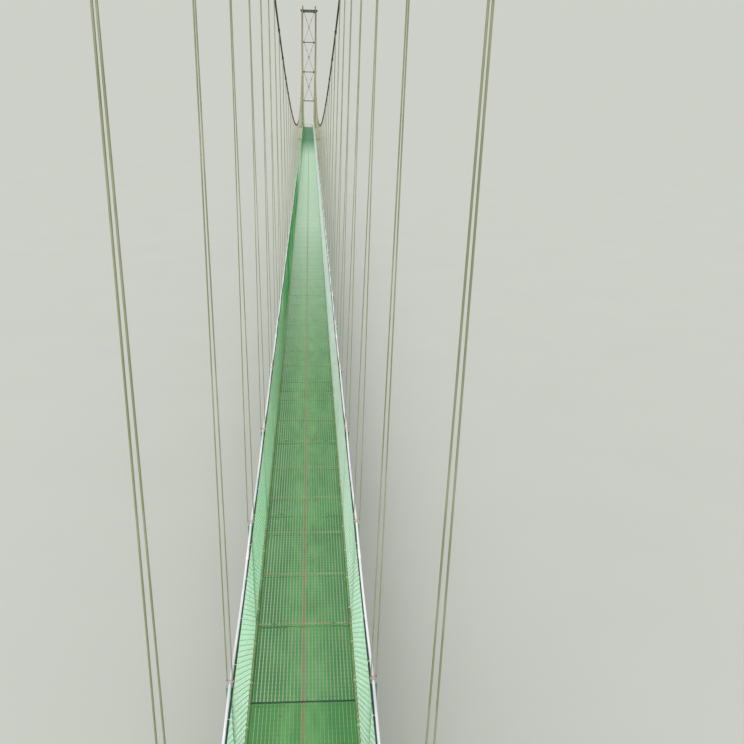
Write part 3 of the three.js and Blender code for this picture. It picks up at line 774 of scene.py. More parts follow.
def nuts(centres, direction, size):
    """Bolt ends: a washer, a six-sided nut and the thread's end, one on another along the direction."""
    centres, direction = np.atleast_2d(centres), np.asarray(direction, float)
    sideways = ALONG if abs(direction[0]) > 0.5 else ACROSS
    return joined(*(rods(centres + direction * size * low, centres + direction * size * high,
                         size * radius, sides, sideways) for low, high, radius, sides in BOLT_PARTS))


# Deck.

def panel_joints(start, end):
    """The joints between a section's grating panels: from the first panel's end on, a panel apart."""
    count = math.floor(FIRST_PANEL_END / PANEL_LENGTH) + 1
    joints = np.append(FIRST_PANEL_END - np.arange(count) * PANEL_LENGTH, CLOSE_PANEL_END)
    joints = np.sort(np.concatenate([-joints, joints]))
    low, high = section_ends(start, end, DECK_END)
    return joints[(joints > low) & (joints < high)]


def grating(start, end):
    """Open steel grating: T bars from joint to joint, and thin rods across them at an even pitch."""
    low, high = section_ends(start, end, DECK_END)
    lines = np.concatenate([[low], panel_joints(start, end), [high]])
    half = END_BAND[0] / 2
    y0 = lines[:-1] + np.where(lines[:-1] > low, half, 0)
    y1 = lines[1:] - np.where(lines[1:] < high, half, 0)
    x = (np.arange(BEARING_BARS) - (BEARING_BARS - 1) / 2) * BEARING_PITCH
    close = np.abs(y0 + y1) / 2 > CLOSE_PANEL_END
    parts = []
    for head, chosen in ((BAR_HEAD, ~close), (CLOSE_BAR_HEAD, close)):
        if chosen.any():
            starts, ends = (points(*np.meshgrid(x, y[chosen]), DECK_TOP) for y in (y1, y0))
            parts.append(carry(tee_section(head, BEARING_DEPTH, BAR_WEB), spans(starts, ends), ACROSS))
    count = round((high - low) / CROSS_ROD_PITCH)
    middles = points(0, low + (np.arange(count) + 0.5) * (high - low) / count,
                     DECK_TOP - CROSS_ROD_RADIUS - MM / 2)
    parts.append(bars(middles, ACROSS, GRATING_WIDTH, CROSS_ROD_RADIUS, 6, ALONG))
    return joined(*parts)


def grating_bands(start, end):
    """A flat band across the deck at each joint, between the ends of the bars."""
    wide, thick = END_BAND
    return slabs(0, panel_joints(start, end), DECK_TOP - thick, DECK_TOP, GRATING_WIDTH, wide)


def grating_clips(start, end):
    """Clips that hold the grating to the cross-beams: a flat plate with a bolt's head, two at each beam."""
    x, y = (a.ravel() for a in np.meshgrid([-CLIP_OFFSET, CLIP_OFFSET], hangers(start, end)))
    wide, long, thick = CLIP
    top = DECK_TOP + thick
    head = rods(points(x, y, top), points(x, y, top + CLIP_HEAD_HEIGHT), CLIP_HEAD_RADIUS)
    return joined(slabs(x, y, DECK_TOP, top, wide, long), head)


def edge_channels(start, end):
    """A channel under each edge of the grating, with bolted splice plates a bay apart."""
    low, high = section_ends(start, end, DECK_END)
    web = FRAME_HIGH.x
    edge = carry(channel_section(EDGE_BEAM_WIDTH, FRAME_DEPTH, BEAM_WALL),
                 [(web, high, FRAME_MIDDLE), (web, low, FRAME_MIDDLE)], -ACROSS)
    joints = np.arange(math.floor(start) + 1, math.ceil(end)) * BAY
    half = SPLICE_HEIGHT / 2
    splices = slabs(web - BEAM_WALL - SPLICE_WALL / 2, joints, FRAME_MIDDLE - half, FRAME_MIDDLE + half,
                    SPLICE_WALL, SPLICE_LENGTH)
    bolt_y = (joints[:, None] + SPLICE_BOLTS).ravel()
    bolts = nuts(points(web - BEAM_WALL - SPLICE_WALL, bolt_y, FRAME_MIDDLE), -ACROSS, SPLICE_BOLT)
    return both_hands(joined(edge, splices, bolts))


def cross_beams(start, end):
    """A flat beam under each pair of hangers and at the bridge's ends, and a slim bar at each joint.

    Both lie between the channels' flanges. A bracket under each flange carries a beam's end.
    """
    low, high = section_ends(start, end, DECK_END)
    wide, deep = CROSS_BEAM
    y = with_ends(hangers(start, end), start, end, low + wide / 2, high - wide / 2)
    top = FRAME_HIGH.z
    level = top - deep / 2
    beams = carry(bar_section(wide, deep, EDGE_CUT),
                  spans(points(-BEAM_REACH, y, level), points(BEAM_REACH, y, level)), ALONG)
    inner, web = BEAM_REACH - BRACKET_REACH, FRAME_HIGH.x - BEAM_WALL - MM
    outline = [(inner, top - deep - MM), (web, top - FRAME_DEPTH + BRACKET_RISE),
               (web, top - BEAM_WALL - MM), (inner, top - deep)]
    half = BRACKET_THICKNESS / 2
    brackets = carry(convex(outline), spans(points(0, y + half, 0), points(0, y - half, 0)), ACROSS)
    wide, deep = JOINT_BAR
    slim = slabs(0, panel_joints(start, end), top - deep, top, 2 * BEAM_REACH, wide)
    return joined(beams, both_hands(brackets), slim)


def cover_strip():
    """A dark strip across the deck, over the joint where the closer bars at the bridge's end begin."""
    wide, deep = COVER_STRIP
    return slabs(0, CLOSE_PANEL_END, DECK_TOP - deep, DECK_TOP + COVER_STRIP_RISE, GRATING_WIDTH, wide)


# Side panels, made for the right hand.

def panel_x(z):
    """The panel's inner face, which leans out evenly from the deck up."""
    return PANEL_FOOT_OFFSET + PANEL_LEAN * (z - DECK_TOP)


def slanting_wires(start, end, inner):
    """One layer of the mesh: y = start + way * (z - toe) * long / short, cut at the panel's ends.

    The inner wires climb towards the near end, and the outer ones away from it.
    """
    low, high = section_ends(start, end, RAIL_END)
    ratio = MESH_LONG / MESH_SHORT
    run = (TOP_LEVEL - TOE_LEVEL) * ratio
    way, wire = (-1, INNER_WIRE) if inner else (1, OUTER_WIRE)
    first = low - run if way > 0 else low
    last = high if way > 0 else high + run
    y = np.arange(math.ceil(first / MESH_LONG), math.floor(last / MESH_LONG) + 1) * MESH_LONG
    near, far = (low - y) / ratio * way, (high - y) / ratio * way
    z0 = TOE_LEVEL + np.clip(np.minimum(near, far), 0, None)
    z1 = np.minimum(TOP_LEVEL, TOE_LEVEL + np.maximum(near, far))
    long = z1 - z0 > SHORTEST_WIRE
    y, z0, z1 = y[long], z0[long], z1[long]
    depth = PANEL_THICKNESS / 2 + way * wire * WIRE_BITE
    starts = points(panel_x(z0) + depth, y + way * (z0 - TOE_LEVEL) * ratio, z0)
    ends = points(panel_x(z1) + depth, y + way * (z1 - TOE_LEVEL) * ratio, z1)
    return rods(starts, ends, wire / 2, 4)


def mesh_ties(start, end):
    """Wire loops that lash the mesh to the top and toe bars: rings of six stations round each bar."""
    low, high = section_ends(start, end, RAIL_END)
    y = np.arange(math.ceil(low / TIE_EVERY), math.floor(high / TIE_EVERY) + 1) * TIE_EVERY
    y = y[(y > low + TIE_END_GAP) & (y < high - TIE_END_GAP)]
    angle = (np.arange(6)[:, None] + 0.5) * np.pi / 3
    loop = np.cos(angle) * ACROSS * TIE_LOOP_WIDE / 2 + np.sin(angle) * UP * TIE_LOOP_HIGH / 2
    rings = []
    for z in (TOE_LEVEL, TOP_LEVEL):
        centre = points(panel_x(z) - EDGE_BAR / 2 + TIE_SHIFT, y, z)
        rings.append(carry(round_section(TIE_WIRE / 2, 4), centre[:, None] + loop[None], ALONG, ring=True))
    return joined(*rings)


def inner_wires(start, end):
    """The inner layer of wires with the ties that hold the mesh."""
    return joined(slanting_wires(start, end, True), mesh_ties(start, end))


def outer_wires(start, end):
    """The outer layer of wires."""
    return slanting_wires(start, end, False)


def edge_bar(start, end, z):
    """A square bar with cut corners along the panel, on its inner face, at one level."""
    low, high = section_ends(start, end, RAIL_END)
    x = panel_x(z) - EDGE_BAR / 2 + PANEL_THICKNESS / 8
    return carry(bar_section(EDGE_BAR, EDGE_BAR, EDGE_CUT), [(x, low, z), (x, high, z)], ACROSS)


def top_bar(start, end):
    """The bar along the panel's top edge."""
    return edge_bar(start, end, TOP_LEVEL)


def toe_bar(start, end):
    """The bar along the panel's foot, just above the deck."""
    return edge_bar(start, end, TOE_LEVEL)


def posts(start, end):
    """Angle posts on the panel's outer face, each with a bolted foot plate."""
    low, high = section_ends(start, end, RAIL_END)
    y = with_ends(hangers(start, end), start, end, low + POST_SIZE, high - POST_SIZE)
    foot = np.where(np.abs(y) > HALF_SPAN - BAY / 2, DECK_TOP + SEAT, FRAME_HIGH.z + MM)
    head = RAIL_LEVEL - RAIL_RADIUS - SEAT
    depth = PANEL_THICKNESS / 2 + SEAT / 2
    lines = [points(panel_x(z) + depth, y - POST_SIZE / 2, z) for z in (foot, head)]
    angles = carry(angle_section(POST_SIZE, POST_WALL), spans(*lines), ACROSS)
    wide, long, thick = POST_FOOT
    x, top = panel_x(foot) + depth + POST_SIZE / 2, foot - MM + thick
    plate = slabs(x, y, foot - MM, top, wide, long)
    bolts = [nuts(points(x + MM, y + way * POST_BOLT_OFFSET, top), UP, POST_BOLT) for way in (-1, 1)]
    return joined(angles, plate, *bolts)


# Handrail and hangers, made for the right hand.

def rail_x(y):
    """The rail's line: out at each hanger and in between them, by 0.5 - 4 u (1 - u) of the scallop."""
    u = (y / BAY - 0.5) % 1.0
    return RAIL_OFFSET + RAIL_SCALLOP * (0.5 - 4 * u * (1 - u))


def handrail(start, end):
    """A round tube along the rail's line, with a sleeve over its joint in every third bay."""
    low, high = section_ends(start, end, RAIL_END)
    count = max(2, round((high - low) / BAY * STEPS_PER_BAY) + 1)
    y = np.linspace(low, high, count)
    tube = carry(round_section(RAIL_RADIUS, 12), points(rail_x(y), y, RAIL_LEVEL), ACROSS)
    first = math.ceil(start / BAYS_PER_LENGTH) * BAYS_PER_LENGTH
    joints = (np.arange(first, end, BAYS_PER_LENGTH) + RAIL_JOINT_PLACE) * BAY
    joints = joints[(joints > low + RAIL_SLEEVE_GAP) & (joints < high - RAIL_SLEEVE_GAP)]
    length, wall = RAIL_SLEEVE
    centres = points(rail_x(joints), joints, RAIL_LEVEL)
    return joined(tube, bars(centres, ALONG, length, RAIL_RADIUS + wall))


def cable_height(y):
    """The parabola of the main cable: its low point plus the sag times (y / half span) squared."""
    return DECK_TOP + CABLE_LOW_POINT + CABLE_SAG * (y / HALF_SPAN) ** 2


def cable_slope(y):
    """The parabola's slope as an angle."""
    return np.arctan(2 * CABLE_SAG * y / HALF_SPAN ** 2)


def cable_offset(y):
    """How far the cable hangs from the middle: drawn in at mid-span and wider towards the towers."""
    return CABLE_OFFSET_MIDDLE + (CABLE_OFFSET_TOWER - CABLE_OFFSET_MIDDLE) * (y / HALF_SPAN) ** 2


def rope_ends(y):
    """The two ends of a hanger's middle line: in the rail's eye plate, and on the pin under the cable."""
    foot = points(rail_x(y), y, RAIL_LEVEL + EYE_TOP - EYE_DROP)
    slope = cable_slope(y)
    head = points(cable_offset(y), y + BAND_DROP * np.sin(slope), cable_height(y) - BAND_DROP * np.cos(slope))
    return foot, head


SLACK = dict(zip(np.round(hangers(-BAYS / 2, BAYS / 2), 6), rng.uniform(*SLACK_RANGE, 2 * (BAYS // 2))))


def slack(y):
    """How far apart each hanger's ropes are, as a share of the usual."""
    return np.array([SLACK[place] for place in np.round(y, 6)])


def rope_lines(start, end):
    """Two ropes to a hanger, parted at the rail's eye plate and side by side higher up.

    Each is the straight line from foot to head, moved aside by half the gap between the two ropes,
    which closes by s * s * (3 - 2 s), where s is the share of the lower part of the height.
    """
    y = hangers(start, end)
    foot, head = rope_ends(y)
    spread = slack(y) * ROPE_SPREAD
    t = np.linspace(0, 1, ROPE_STATIONS)
    s = np.clip(t / ROPE_PARTED, 0, 1)
    aside = ROPE_APART + spread[:, None] * (1 - s * s * (3 - 2 * s))[None]
    middle = foot[:, None] + (head - foot)[:, None] * t[None, :, None]
    return np.concatenate([middle + way * aside[:, :, None] * ACROSS for way in (-1, 1)])


def hanger_ropes(start, end):
    """A small round section carried along each rope's line."""
    return carry(round_section(ROPE_RADIUS, 6), rope_lines(start, end), ALONG)


def rope_sleeves(start, end):
    """A pressed sleeve on each rope's end: a tapered tube along the last stretch of the rope's line."""
    lines = rope_lines(start, end)
    sleeves = []
    for last, nearby, gap in ((0, 1, SLEEVE_FOOT_GAP), (-1, -2, SLEEVE_HEAD_GAP)):
        way = unit(lines[:, nearby] - lines[:, last])
        path = lines[:, last, None] + way[:, None] * (SLEEVE_STEPS + gap)[None, :, None]
        sleeves.append(carry(round_section(SLEEVE_RADIUS, 8), path, ALONG, grow=SLEEVE_GROW))
    return joined(*sleeves)


def rail_clamps(start, end):
    """A band round the rail at each hanger, with an eye plate on top, a bolt and a saddle on the post."""
    y = hangers(start, end)
    x, z = rail_x(y), RAIL_LEVEL
    length, wall = RAIL_BAND
    eye = 2 * (ROPE_APART + slack(y) * ROPE_SPREAD + EYE_MARGIN)
    wide, long, thick = RAIL_SADDLE
    head = z - RAIL_RADIUS - MM
    return joined(bars(points(x, y, z), ALONG, length, RAIL_RADIUS + wall),
                  slabs(x, y, z + RAIL_RADIUS, z + EYE_TOP, eye, EYE_THICKNESS),
                  nuts(points(x + RAIL_RADIUS + MM, y, z - CLAMP_BOLT_DROP), ACROSS, CLAMP_BOLT),
                  slabs(RAIL_OFFSET + RAIL_SADDLE_SHIFT, y, head - thick, head, wide, long))


def cable_bands(start, end):
    """A band round the main cable at each hanger, with a lug under it, a pin and two bolts."""
    y = hangers(start, end)
    slope = cable_slope(y)
    centre = points(cable_offset(y), y, cable_height(y))
    run = points(0, np.cos(slope), np.sin(slope))
    drop = points(0, np.sin(slope), -np.cos(slope))
    length, wall = CABLE_BAND
    ends = [centre + drop * depth for depth in (CABLE_RADIUS, BAND_LUG_DROP)]
    lug = carry(bar_section(*BAND_LUG), spans(*ends), ACROSS)
    bolts = [centre + drop * BAND_BOLT_DROP + run * way * BAND_BOLT_OFFSET for way in (-1, 1)]
    return joined(bars(centre, run, length, CABLE_RADIUS + wall), lug,
                  bars(centre + drop * BAND_DROP, ACROSS, BAND_PIN_LENGTH, BAND_PIN_RADIUS, 8, ALONG),
                  bars(np.concatenate(bolts), ACROSS, BAND_BOLT_LENGTH, BAND_PIN_RADIUS, 6, ALONG))


# Main cables, made for the right hand.

ENTRY_SLOPE = float(cable_slope(HALF_SPAN))
ENTRY_Y = HALF_SPAN - SADDLE_BEND * math.sin(ENTRY_SLOPE)
SADDLE_FOOT = float(cable_height(ENTRY_Y)) - SADDLE_BEND * math.cos(ENTRY_SLOPE)
BACKSTAY_TOP = (HALF_SPAN + SADDLE_BEND * math.sin(BACKSTAY_SLOPE),
                SADDLE_FOOT + SADDLE_BEND * math.cos(BACKSTAY_SLOPE))
PLATE_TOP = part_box("far_anchor_block")[1].z + SEAT + ANCHOR_PLATE_THICKNESS
SOCKET_FOOT_Z = PLATE_TOP + SOCKET_CLEARANCE
SOCKET_MOUTH_Z = SOCKET_FOOT_Z + SOCKET_LENGTH * math.sin(BACKSTAY_SLOPE)
BACKSTAY_WAY = np.array([0.0, math.cos(BACKSTAY_SLOPE), -math.sin(BACKSTAY_SLOPE)])


def backstay_y(z):
    """Where the backstay is at a height: straight down at its slope from the saddle."""
    return BACKSTAY_TOP[0] + (BACKSTAY_TOP[1] - z) / math.tan(BACKSTAY_SLOPE)


def cable_line():
    """The whole cable: parabola, an arc over each saddle and both backstays, at even steps of length."""
    y = np.linspace(0, ENTRY_Y, CURVE_STATIONS)
    curve = points(cable_offset(y), y, cable_height(y))
    angle = np.linspace(-ENTRY_SLOPE, BACKSTAY_SLOPE, BEND_STATIONS)[1:]
    bend = points(CABLE_OFFSET_TOWER, HALF_SPAN + SADDLE_BEND * np.sin(angle),
                  SADDLE_FOOT + SADDLE_BEND * np.cos(angle))
    foot = points(CABLE_OFFSET_TOWER, backstay_y(SOCKET_MOUTH_Z), SOCKET_MOUTH_Z)
    half = np.concatenate([curve, bend, foot])
    line = np.concatenate([half[:0:-1] * [1, -1, 1], half])
    length = np.concatenate([[0], np.cumsum(np.linalg.norm(np.diff(line, axis=0), axis=1))])
    even = np.linspace(0, length[-1], round(length[-1] / CABLE_LAY * STEPS_PER_LAY))
    return np.stack([np.interp(even, length, line[:, axis]) for axis in range(3)], 1), even


def laid_cable():
    """Six strands laid into a cable: a star section that turns once in each lay of length."""
    line, length = cable_line()
    turn = length / CABLE_LAY * 2 * np.pi
    return carry(laid_section(CABLE_RADIUS, 6, CABLE_VALLEY), line, ACROSS, turn=turn)


# Towers, made for the far end, with what stands on each side made for the right hand.

TOWER_FOOT = DECK_TOP + SEAT
CAP_BOTTOM = CAP_BEAM[0].z
CAP_TOP = SADDLE_FOOT


def ring_of(centre, radius, count, start=0.0):
    """Points round an upright axis at even steps: centre + radius * (cos a, sin a)."""
    x, y = circle(start + np.arange(count) * 2 * np.pi / count, radius).T
    return points(centre[0] + x, centre[1] + y, centre[2])


def tower_leg():
    """A round leg from its base plate to the cap beam, with a collar at each cross bar and gussets."""
    plate, thick = BASE_PLATE
    x, y = LEG_OFFSET, HALF_SPAN
    top, floor = CAP_BOTTOM - SEAT, TOWER_FOOT + thick
    leg = rods((x, y, TOWER_FOOT + thick / 2), (x, y, top), LEG_RADIUS, 24)
    base = slabs(x, y, TOWER_FOOT, floor, plate, plate)
    heights = np.append(brace_heights(), TOWER_FOOT + LOW_COLLAR_HEIGHT)
    length, wall = COLLAR
    collars = bars(points(x, y, heights), UP, length, LEG_RADIUS + wall, 24)
    head = rods((x, y, top - LEG_HEAD_THICKNESS), (x, y, top), LEG_RADIUS + LEG_HEAD_REACH, 24)
    inner, half = LEG_RADIUS - GUSSET_BITE, GUSSET_THICKNESS / 2
    outer = inner + GUSSET_REACH
    upright = [(inner, 0), (outer, 0), (outer, GUSSET_TOE), (inner, GUSSET_RISE)]
    gussets = []
    for way in (1, -1):
        section = convex(np.array(upright)[::way] * [way, 1])
        gussets.append(carry(section, [(x - half, y, floor), (x + half, y, floor)], ALONG))
        gussets.append(carry(section, [(x, y + half, floor), (x, y - half, floor)], ACROSS))
    return joined(leg, base, collars, head, *gussets)


def brace_heights():
    """The levels of the cross bars: from the lintel up to just under the cap beam, evenly."""
    top = CAP_BOTTOM - BRACE_BAR_RADIUS - SEAT
    return np.linspace(DECK_TOP + LINTEL_HEIGHT, top, BRACE_PANELS + 1)


def tower_bracing():
    """Round cross bars between the legs, crossed rods with turnbuckles and a ring, and gusset plates."""
    z, y = brace_heights(), HALF_SPAN
    reach = LEG_OFFSET - LEG_RADIUS - SEAT
    parts = [bars(points(0, y, z), ACROSS, 2 * reach, BRACE_BAR_RADIUS, 16, ALONG)]
    for side in (-1, 1):
        aside = y + side * BRACE_ROD_RADIUS
        starts = points(-side * BRACE_ROD_OFFSET, aside, z[:-1])
        ends = points(side * BRACE_ROD_OFFSET, aside, z[1:])
        way = unit(ends - starts)
        parts.append(rods(starts, ends, BRACE_ROD_RADIUS, 8, ALONG))
        parts.append(bars((starts + ends) / 2 + way * TURNBUCKLE_PLACE, way, TURNBUCKLE_LENGTH,
                          BRACE_ROD_RADIUS * TURNBUCKLE_GROW, 6, ALONG))
    angle = np.arange(24)[:, None] * np.pi / 12
    loop = (np.cos(angle) * ACROSS + np.sin(angle) * UP) * BRACE_RING_RADIUS
    centres = points(0, y, (z[:-1] + z[1:]) / 2)
    parts.append(carry(round_section(BRACE_RING_BAR, 8), centres[:, None] + loop[None], ALONG, ring=True))
    x, z = np.repeat([-BRACE_ROD_OFFSET, BRACE_ROD_OFFSET], len(z)), np.tile(z, 2)
    above = np.where(z > z.max() - MM, 0, BRACE_PLATE_RISE)
    below = np.where(z < z.min() + MM, 0, BRACE_PLATE_RISE)
    parts.append(slabs(x, y, z - below, z + above, BRACE_PLATE_WIDTH, BRACE_PLATE_THICKNESS))
    return joined(*parts)


def half_disc(radius, drop):
    """A half disc on a short foot, as (y, z) about the middle of its flat side."""
    round_side = circle(np.linspace(0, np.pi, 26), radius)
    return np.concatenate([round_side, [(-radius, -drop), (radius, -drop)]])


def grooved_rim(centre, radius):
    """The saddle's rim: a section with a groove of p = q * q / (2 * cable radius), carried over an arc."""
    angle = np.linspace(0, np.pi, 41)
    arc = centre + radius * points(0, np.cos(angle), np.sin(angle))
    across = np.linspace(GROOVE_WIDTH / 2, -GROOVE_WIDTH / 2, GROOVE_POINTS)
    groove = np.stack([0.5 * across ** 2 / CABLE_RADIUS - GROOVE_DEPTH, across], 1)
    section = np.concatenate([np.stack([np.full(GROOVE_POINTS, -RIM_DEPTH), across], 1), groove[::-1]])
    last = 2 * GROOVE_POINTS - 1
    caps = np.array([(i, i + 1, last - 1 - i, last - i) for i in range(GROOVE_POINTS - 1)])
    return carry((section, caps), arc, unit(arc - centre))


def saddle(centre):
    """A drum with a grooved rim between two bolted cheeks, and ribs at its four corners."""
    core = SADDLE_BEND - CABLE_RADIUS - SEAT
    drum = plates(half_disc(core - DRUM_GAP, SADDLE_FOOT_DROP), centre, DRUM_WIDTH)
    cheek = half_disc(SADDLE_BEND + CHEEK_RISE, SADDLE_FOOT_DROP)
    angle = np.linspace(CHEEK_BOLTS_START, np.pi - CHEEK_BOLTS_START, CHEEK_BOLTS)
    bolts = centre + (core - CHEEK_BOLTS_DROP) * points(0, np.cos(angle), np.sin(angle))
    parts = [drum, grooved_rim(centre, core)]
    for side in (-ACROSS, ACROSS):
        parts.append(plates(cheek, centre + side * CHEEK_OFFSET, CHEEK_THICKNESS))
        parts.append(nuts(bolts + side * (CHEEK_OFFSET + CHEEK_THICKNESS / 2), side, CHEEK_BOLT))
    x, y = np.meshgrid(RIB_X, RIB_Y)
    parts.append(slabs(centre[0] + x, centre[1] + y, centre[2], centre[2] + RIB_HEIGHT,
                       RIB_WIDTH, RIB_THICKNESS))
    return joined(*parts)


def cap_beam():
    """An I beam across both legs with stiffeners, and for each cable a grooved saddle between cheeks."""
    y, reach = HALF_SPAN, CAP_BEAM[1].x
    middle = (CAP_TOP + CAP_BOTTOM) / 2
    width, wall = CAP_FLANGE
    beam = carry(beam_section(width, CAP_TOP - CAP_BOTTOM, wall),
                 [(-reach, y, middle), (reach, y, middle)], ALONG)
    stiffeners = slabs(np.concatenate([-STIFFENERS, STIFFENERS]), y, CAP_BOTTOM + wall, CAP_TOP - wall,
                       STIFFENER_THICKNESS, width - 2 * STIFFENER_INSET)
    return joined(beam, stiffeners, both_hands(saddle(np.array([CABLE_OFFSET_TOWER, y, CAP_TOP]))))


def tower_bolts():
    """Anchor bolts at both base plates and bolts under the cap beam's flange."""
    plate, thick = BASE_PLATE
    corners = ring_of((LEG_OFFSET, HALF_SPAN, TOWER_FOOT + thick), plate * BASE_BOLT_REACH, 4, np.pi / 4)
    under = CAP_BOTTOM - SEAT - LEG_HEAD_THICKNESS
    heads = ring_of((LEG_OFFSET, HALF_SPAN, under), LEG_RADIUS + CAP_BOLT_REACH, 8)
    return both_hands(joined(nuts(corners, UP, BASE_BOLT), nuts(heads, -UP, CAP_BOLT)))


# Abutments and anchors, made for the far end.

def abutment():
    """A block with a shelf for the deck: its outline of (y, z) carried across the bridge."""
    low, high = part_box("far_abutment")
    shelf_end, shelf = DECK_END + SEAT, FRAME_LOW.z - SEAT
    outline = [(low.y, shelf), (low.y, low.z), (high.y, low.z), (high.y, high.z), (shelf_end, high.z),
               (shelf_end, shelf)]
    faces = np.array([(0, 1, 2, 5), (5, 2, 3, 4)])
    return carry((np.array(outline), faces), [(low.x, 0, 0), (high.x, 0, 0)], ALONG)


def anchor_mass():
    """The anchor block, with a shallow step round its top edge."""
    low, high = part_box("far_anchor_block")
    step = ANCHOR_STEP
    body = blocks((low.x, low.y, low.z), (high.x, high.y, high.z - step))
    top = blocks((low.x + step, low.y + step, high.z - step), (high.x - step, high.y - step, high.z))
    return joined(body, top)


def anchor_fittings():
    """A bolted plate, and for each cable a socket in line with it, held by a pin between two lugs."""
    foot_y, mouth_y = backstay_y(SOCKET_FOOT_Z), backstay_y(SOCKET_MOUTH_Z)
    centre_y = foot_y - ANCHOR_PLATE_SHIFT
    plate = slabs(0, centre_y, PLATE_TOP - ANCHOR_PLATE_THICKNESS, PLATE_TOP,
                  ANCHOR_PLATE_WIDTH, ANCHOR_PLATE_LENGTH)
    foot = np.array([CABLE_OFFSET_TOWER, foot_y, SOCKET_FOOT_Z])
    path = foot[None] - BACKSTAY_WAY[None] * SOCKET_STEPS[:, None]
    parts = [carry(round_section(SOCKET_RADIUS, 20), path, ACROSS, grow=SOCKET_GROW)]
    base, middle = PLATE_TOP - MM, (foot_y + mouth_y) / 2
    outline = [(middle - SOCKET_CLEARANCE, base), (foot_y + SOCKET_CLEARANCE, base),
               (foot_y + LUG_MARGIN, SOCKET_FOOT_Z + LUG_MARGIN),
               (middle, (SOCKET_FOOT_Z + SOCKET_MOUTH_Z) / 2)]
    pin = foot - BACKSTAY_WAY * PIN_PLACE
    parts.append(bars(pin, ACROSS, PIN_LENGTH, PIN_RADIUS, 16, ALONG))
    for side in (-ACROSS, ACROSS):
        parts.append(plates(outline, ACROSS * CABLE_OFFSET_TOWER + side * LUG_OFFSET, LUG_THICKNESS))
        parts.append(nuts(pin + side * PIN_NUT_OFFSET, side, PIN_NUT))
    x, y = np.meshgrid(ANCHOR_BOLTS_X, ANCHOR_BOLTS_Y)
    parts.append(nuts(points(x, centre_y + y, PLATE_TOP), UP, ANCHOR_BOLT))
    return joined(plate, both_hands(joined(*parts)))


# The pieces: at the two ends, the cables, and what is made in sections from the near end.

for end, way in ENDS:
    for name, surface, finish, slot, node, chamfer in (
            ("abutment_block", abutment, CONCRETE, "concrete", "abutment", EDGE_ROUNDING),
            ("anchor_mass", anchor_mass, CONCRETE, "concrete", "anchor_block", EDGE_ROUNDING),
            ("anchor_fittings", anchor_fittings, ZINC, "shoe_steel", "anchor_shoe", 0.0),
            ("saddle_beam", cap_beam, TOWER, "tower_paint", "tower_cap_beam", 0.0),
            ("tower_ties", tower_bracing, TOWER, "tower_paint", "tower_bracing", 0.0),
            ("tower_bolts", tower_bolts, ZINC, "shoe_steel", "", 0.0),
            ("deck_cover_strip", cover_strip, FRAME_AND_SHADE, "frame_green", "", 0.0)):
        nodes = [f"{end}_{node}"] if node else ()
        piece(f"{end}_{name}", ended(surface(), way), finish, nodes, chamfer=chamfer)
    for hand, side in HANDS:
        piece(f"{end}_{hand}_leg_tube", ended(handed(tower_leg(), side), way), TOWER,
              [f"{end}_tower_{hand}_leg"])

for hand, side in HANDS:
    piece(f"{hand}_laid_cable", handed(laid_cable(), side), CABLE, [f"{hand}_main_cable"],
          crease=80)

for section, (start, end) in enumerate(zip(SECTION_ENDS, SECTION_ENDS[1:]), 1):
    bed, frame_node = [f"deck_grating_{section}"], [f"deck_frame_{section}"]
    for name, surface, finish, slot, nodes in (
            ("bars", grating, DECK, "deck_green", bed),
            ("bands", grating_bands, BAND, "deck_green", bed),
            ("clips", grating_clips, GREEN, "frame_green", ()),
            ("edge_channels", edge_channels, GREEN, "frame_green", frame_node),
            ("cross_beams", cross_beams, BEAM_PAINTED_LIGHT, "frame_green", frame_node)):
        piece(f"deck_{name}_{section}", surface(start, end), finish, nodes)
    for hand, side in HANDS:
        panel, ropes = [f"{hand}_mesh_panel_{section}"], [f"{hand}_rail_and_hangers_{section}"]
        for name, surface, finish, slot, nodes, crease in (
                ("inner_wires", inner_wires, MINT, "mesh_green", panel, 30),
                ("outer_wires", outer_wires, SHADED_SAGE, "mesh_green", panel, 30),
                ("panel_posts", posts, GREEN, "frame_green", panel, 35),
                ("top_bar", top_bar, FRAME_AND_SHADE, "frame_green", panel, 35),
                ("toe_bar", toe_bar, TOE, "frame_green", panel, 35),
                ("handrail", handrail, RAIL, "handrail_white", ropes, 35),
                ("hanger_ropes", hanger_ropes, ROPE, "hanger_rope", ropes, 70),
                ("rope_sleeves", rope_sleeves, COPPER, "main_cable", ropes, 50),
                ("rail_clamps", rail_clamps, ZINC, "shoe_steel", ropes, 35),
                ("cable_bands", cable_bands, TOWER, "tower_paint", ropes, 35)):
            piece(f"{hand}_{name}_{section}", handed(surface(start, end), side), finish, nodes, crease)


# Camera, from the lookout on the near tower: how it is held, in degrees, and its lens in millimetres.
CAMERA_PLACE = (38 * MM, -43905 * MM, DECK_TOP + 4963 * MM)
CAMERA_PAN = 4.659
CAMERA_TILT = 19.516
CAMERA_ROLL = 1.698
CAMERA_LENS = 40.0

# Stage: half the floor's width, how strong and soft the light is and how it is turned, in degrees, and
# the colours.
FLOOR_REACH = 300.0
LIGHT_STRENGTH = 4.45
LIGHT_SPREAD = 40
LIGHT_LEAN = 60
LIGHT_ASIDE = -6
LIGHT_COLOUR = (1.0, 0.99, 0.96)
SURROUND = (0.615, 0.632, 0.580)
FLOOR_GREY = (0.461, 0.470, 0.456)
FLOOR_PATCH = (0.471, 0.480, 0.466)


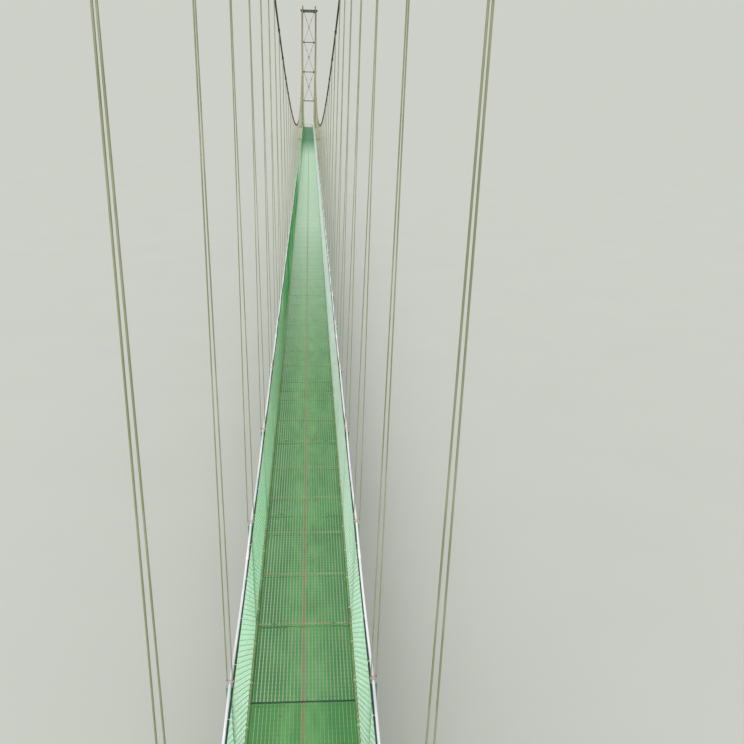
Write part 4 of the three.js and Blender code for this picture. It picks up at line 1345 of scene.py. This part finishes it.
def set_camera():
    """Looks along the bridge, panned to the right, tilted down and rolled, as the three angles say."""
    pan, tilt, roll = (math.radians(a) for a in (CAMERA_PAN, CAMERA_TILT, CAMERA_ROLL))
    ahead = np.array([math.sin(pan), math.cos(pan), 0])
    right = np.array([math.cos(pan), -math.sin(pan), 0])
    sight = math.cos(tilt) * ahead - math.sin(tilt) * UP
    down = -math.cos(tilt) * UP - math.sin(tilt) * ahead
    right, down = (math.cos(roll) * right - math.sin(roll) * down,
                   math.sin(roll) * right + math.cos(roll) * down)
    data = bpy.data.cameras.new("lookout")
    data.lens = CAMERA_LENS
    data.sensor_width = 36.0
    data.clip_start = 0.01
    data.clip_end = 1000.0
    camera = placed("lookout", data)
    turn = Matrix(np.stack([right, -down, -sight], 1).tolist()).to_4x4()
    camera.matrix_world = Matrix.Translation(CAMERA_PLACE) @ turn
    bpy.context.scene.camera = camera


def set_stage():
    """A wide pale floor, a pale surround and one broad soft light from behind the camera and above."""
    floor_finish = Finish("floor", FLOOR_GREY, 0.95)
    floor_finish.blots(2 * METRE, 0.3, 0.7, FLOOR_PATCH)
    floor_finish.shader.inputs["Specular IOR Level"].default_value = 0.0
    mesh = bpy.data.meshes.new("floor")
    r = FLOOR_REACH
    mesh.from_pydata([(-r, -r, 0), (r, -r, 0), (r, r, 0), (-r, r, 0)], [], [(0, 1, 2, 3)])
    mesh.materials.append(floor_finish.done())
    placed("floor", mesh)
    world = bpy.data.worlds.new("studio")
    world.use_nodes = True
    background = world.node_tree.nodes["Background"]
    background.inputs["Color"].default_value = (*SURROUND, 1.0)
    background.inputs["Strength"].default_value = 1.0
    bpy.context.scene.world = world
    light = bpy.data.lights.new("softbox", "SUN")
    light.energy = LIGHT_STRENGTH
    light.angle = math.radians(LIGHT_SPREAD)
    light.color = LIGHT_COLOUR
    turn = Matrix.Rotation(math.radians(LIGHT_LEAN), 4, "X")
    placed("softbox", light).matrix_world = turn @ Matrix.Rotation(math.radians(LIGHT_ASIDE), 4, "Y")
    bpy.context.scene.view_settings.view_transform = "Standard"


set_camera()
set_stage()
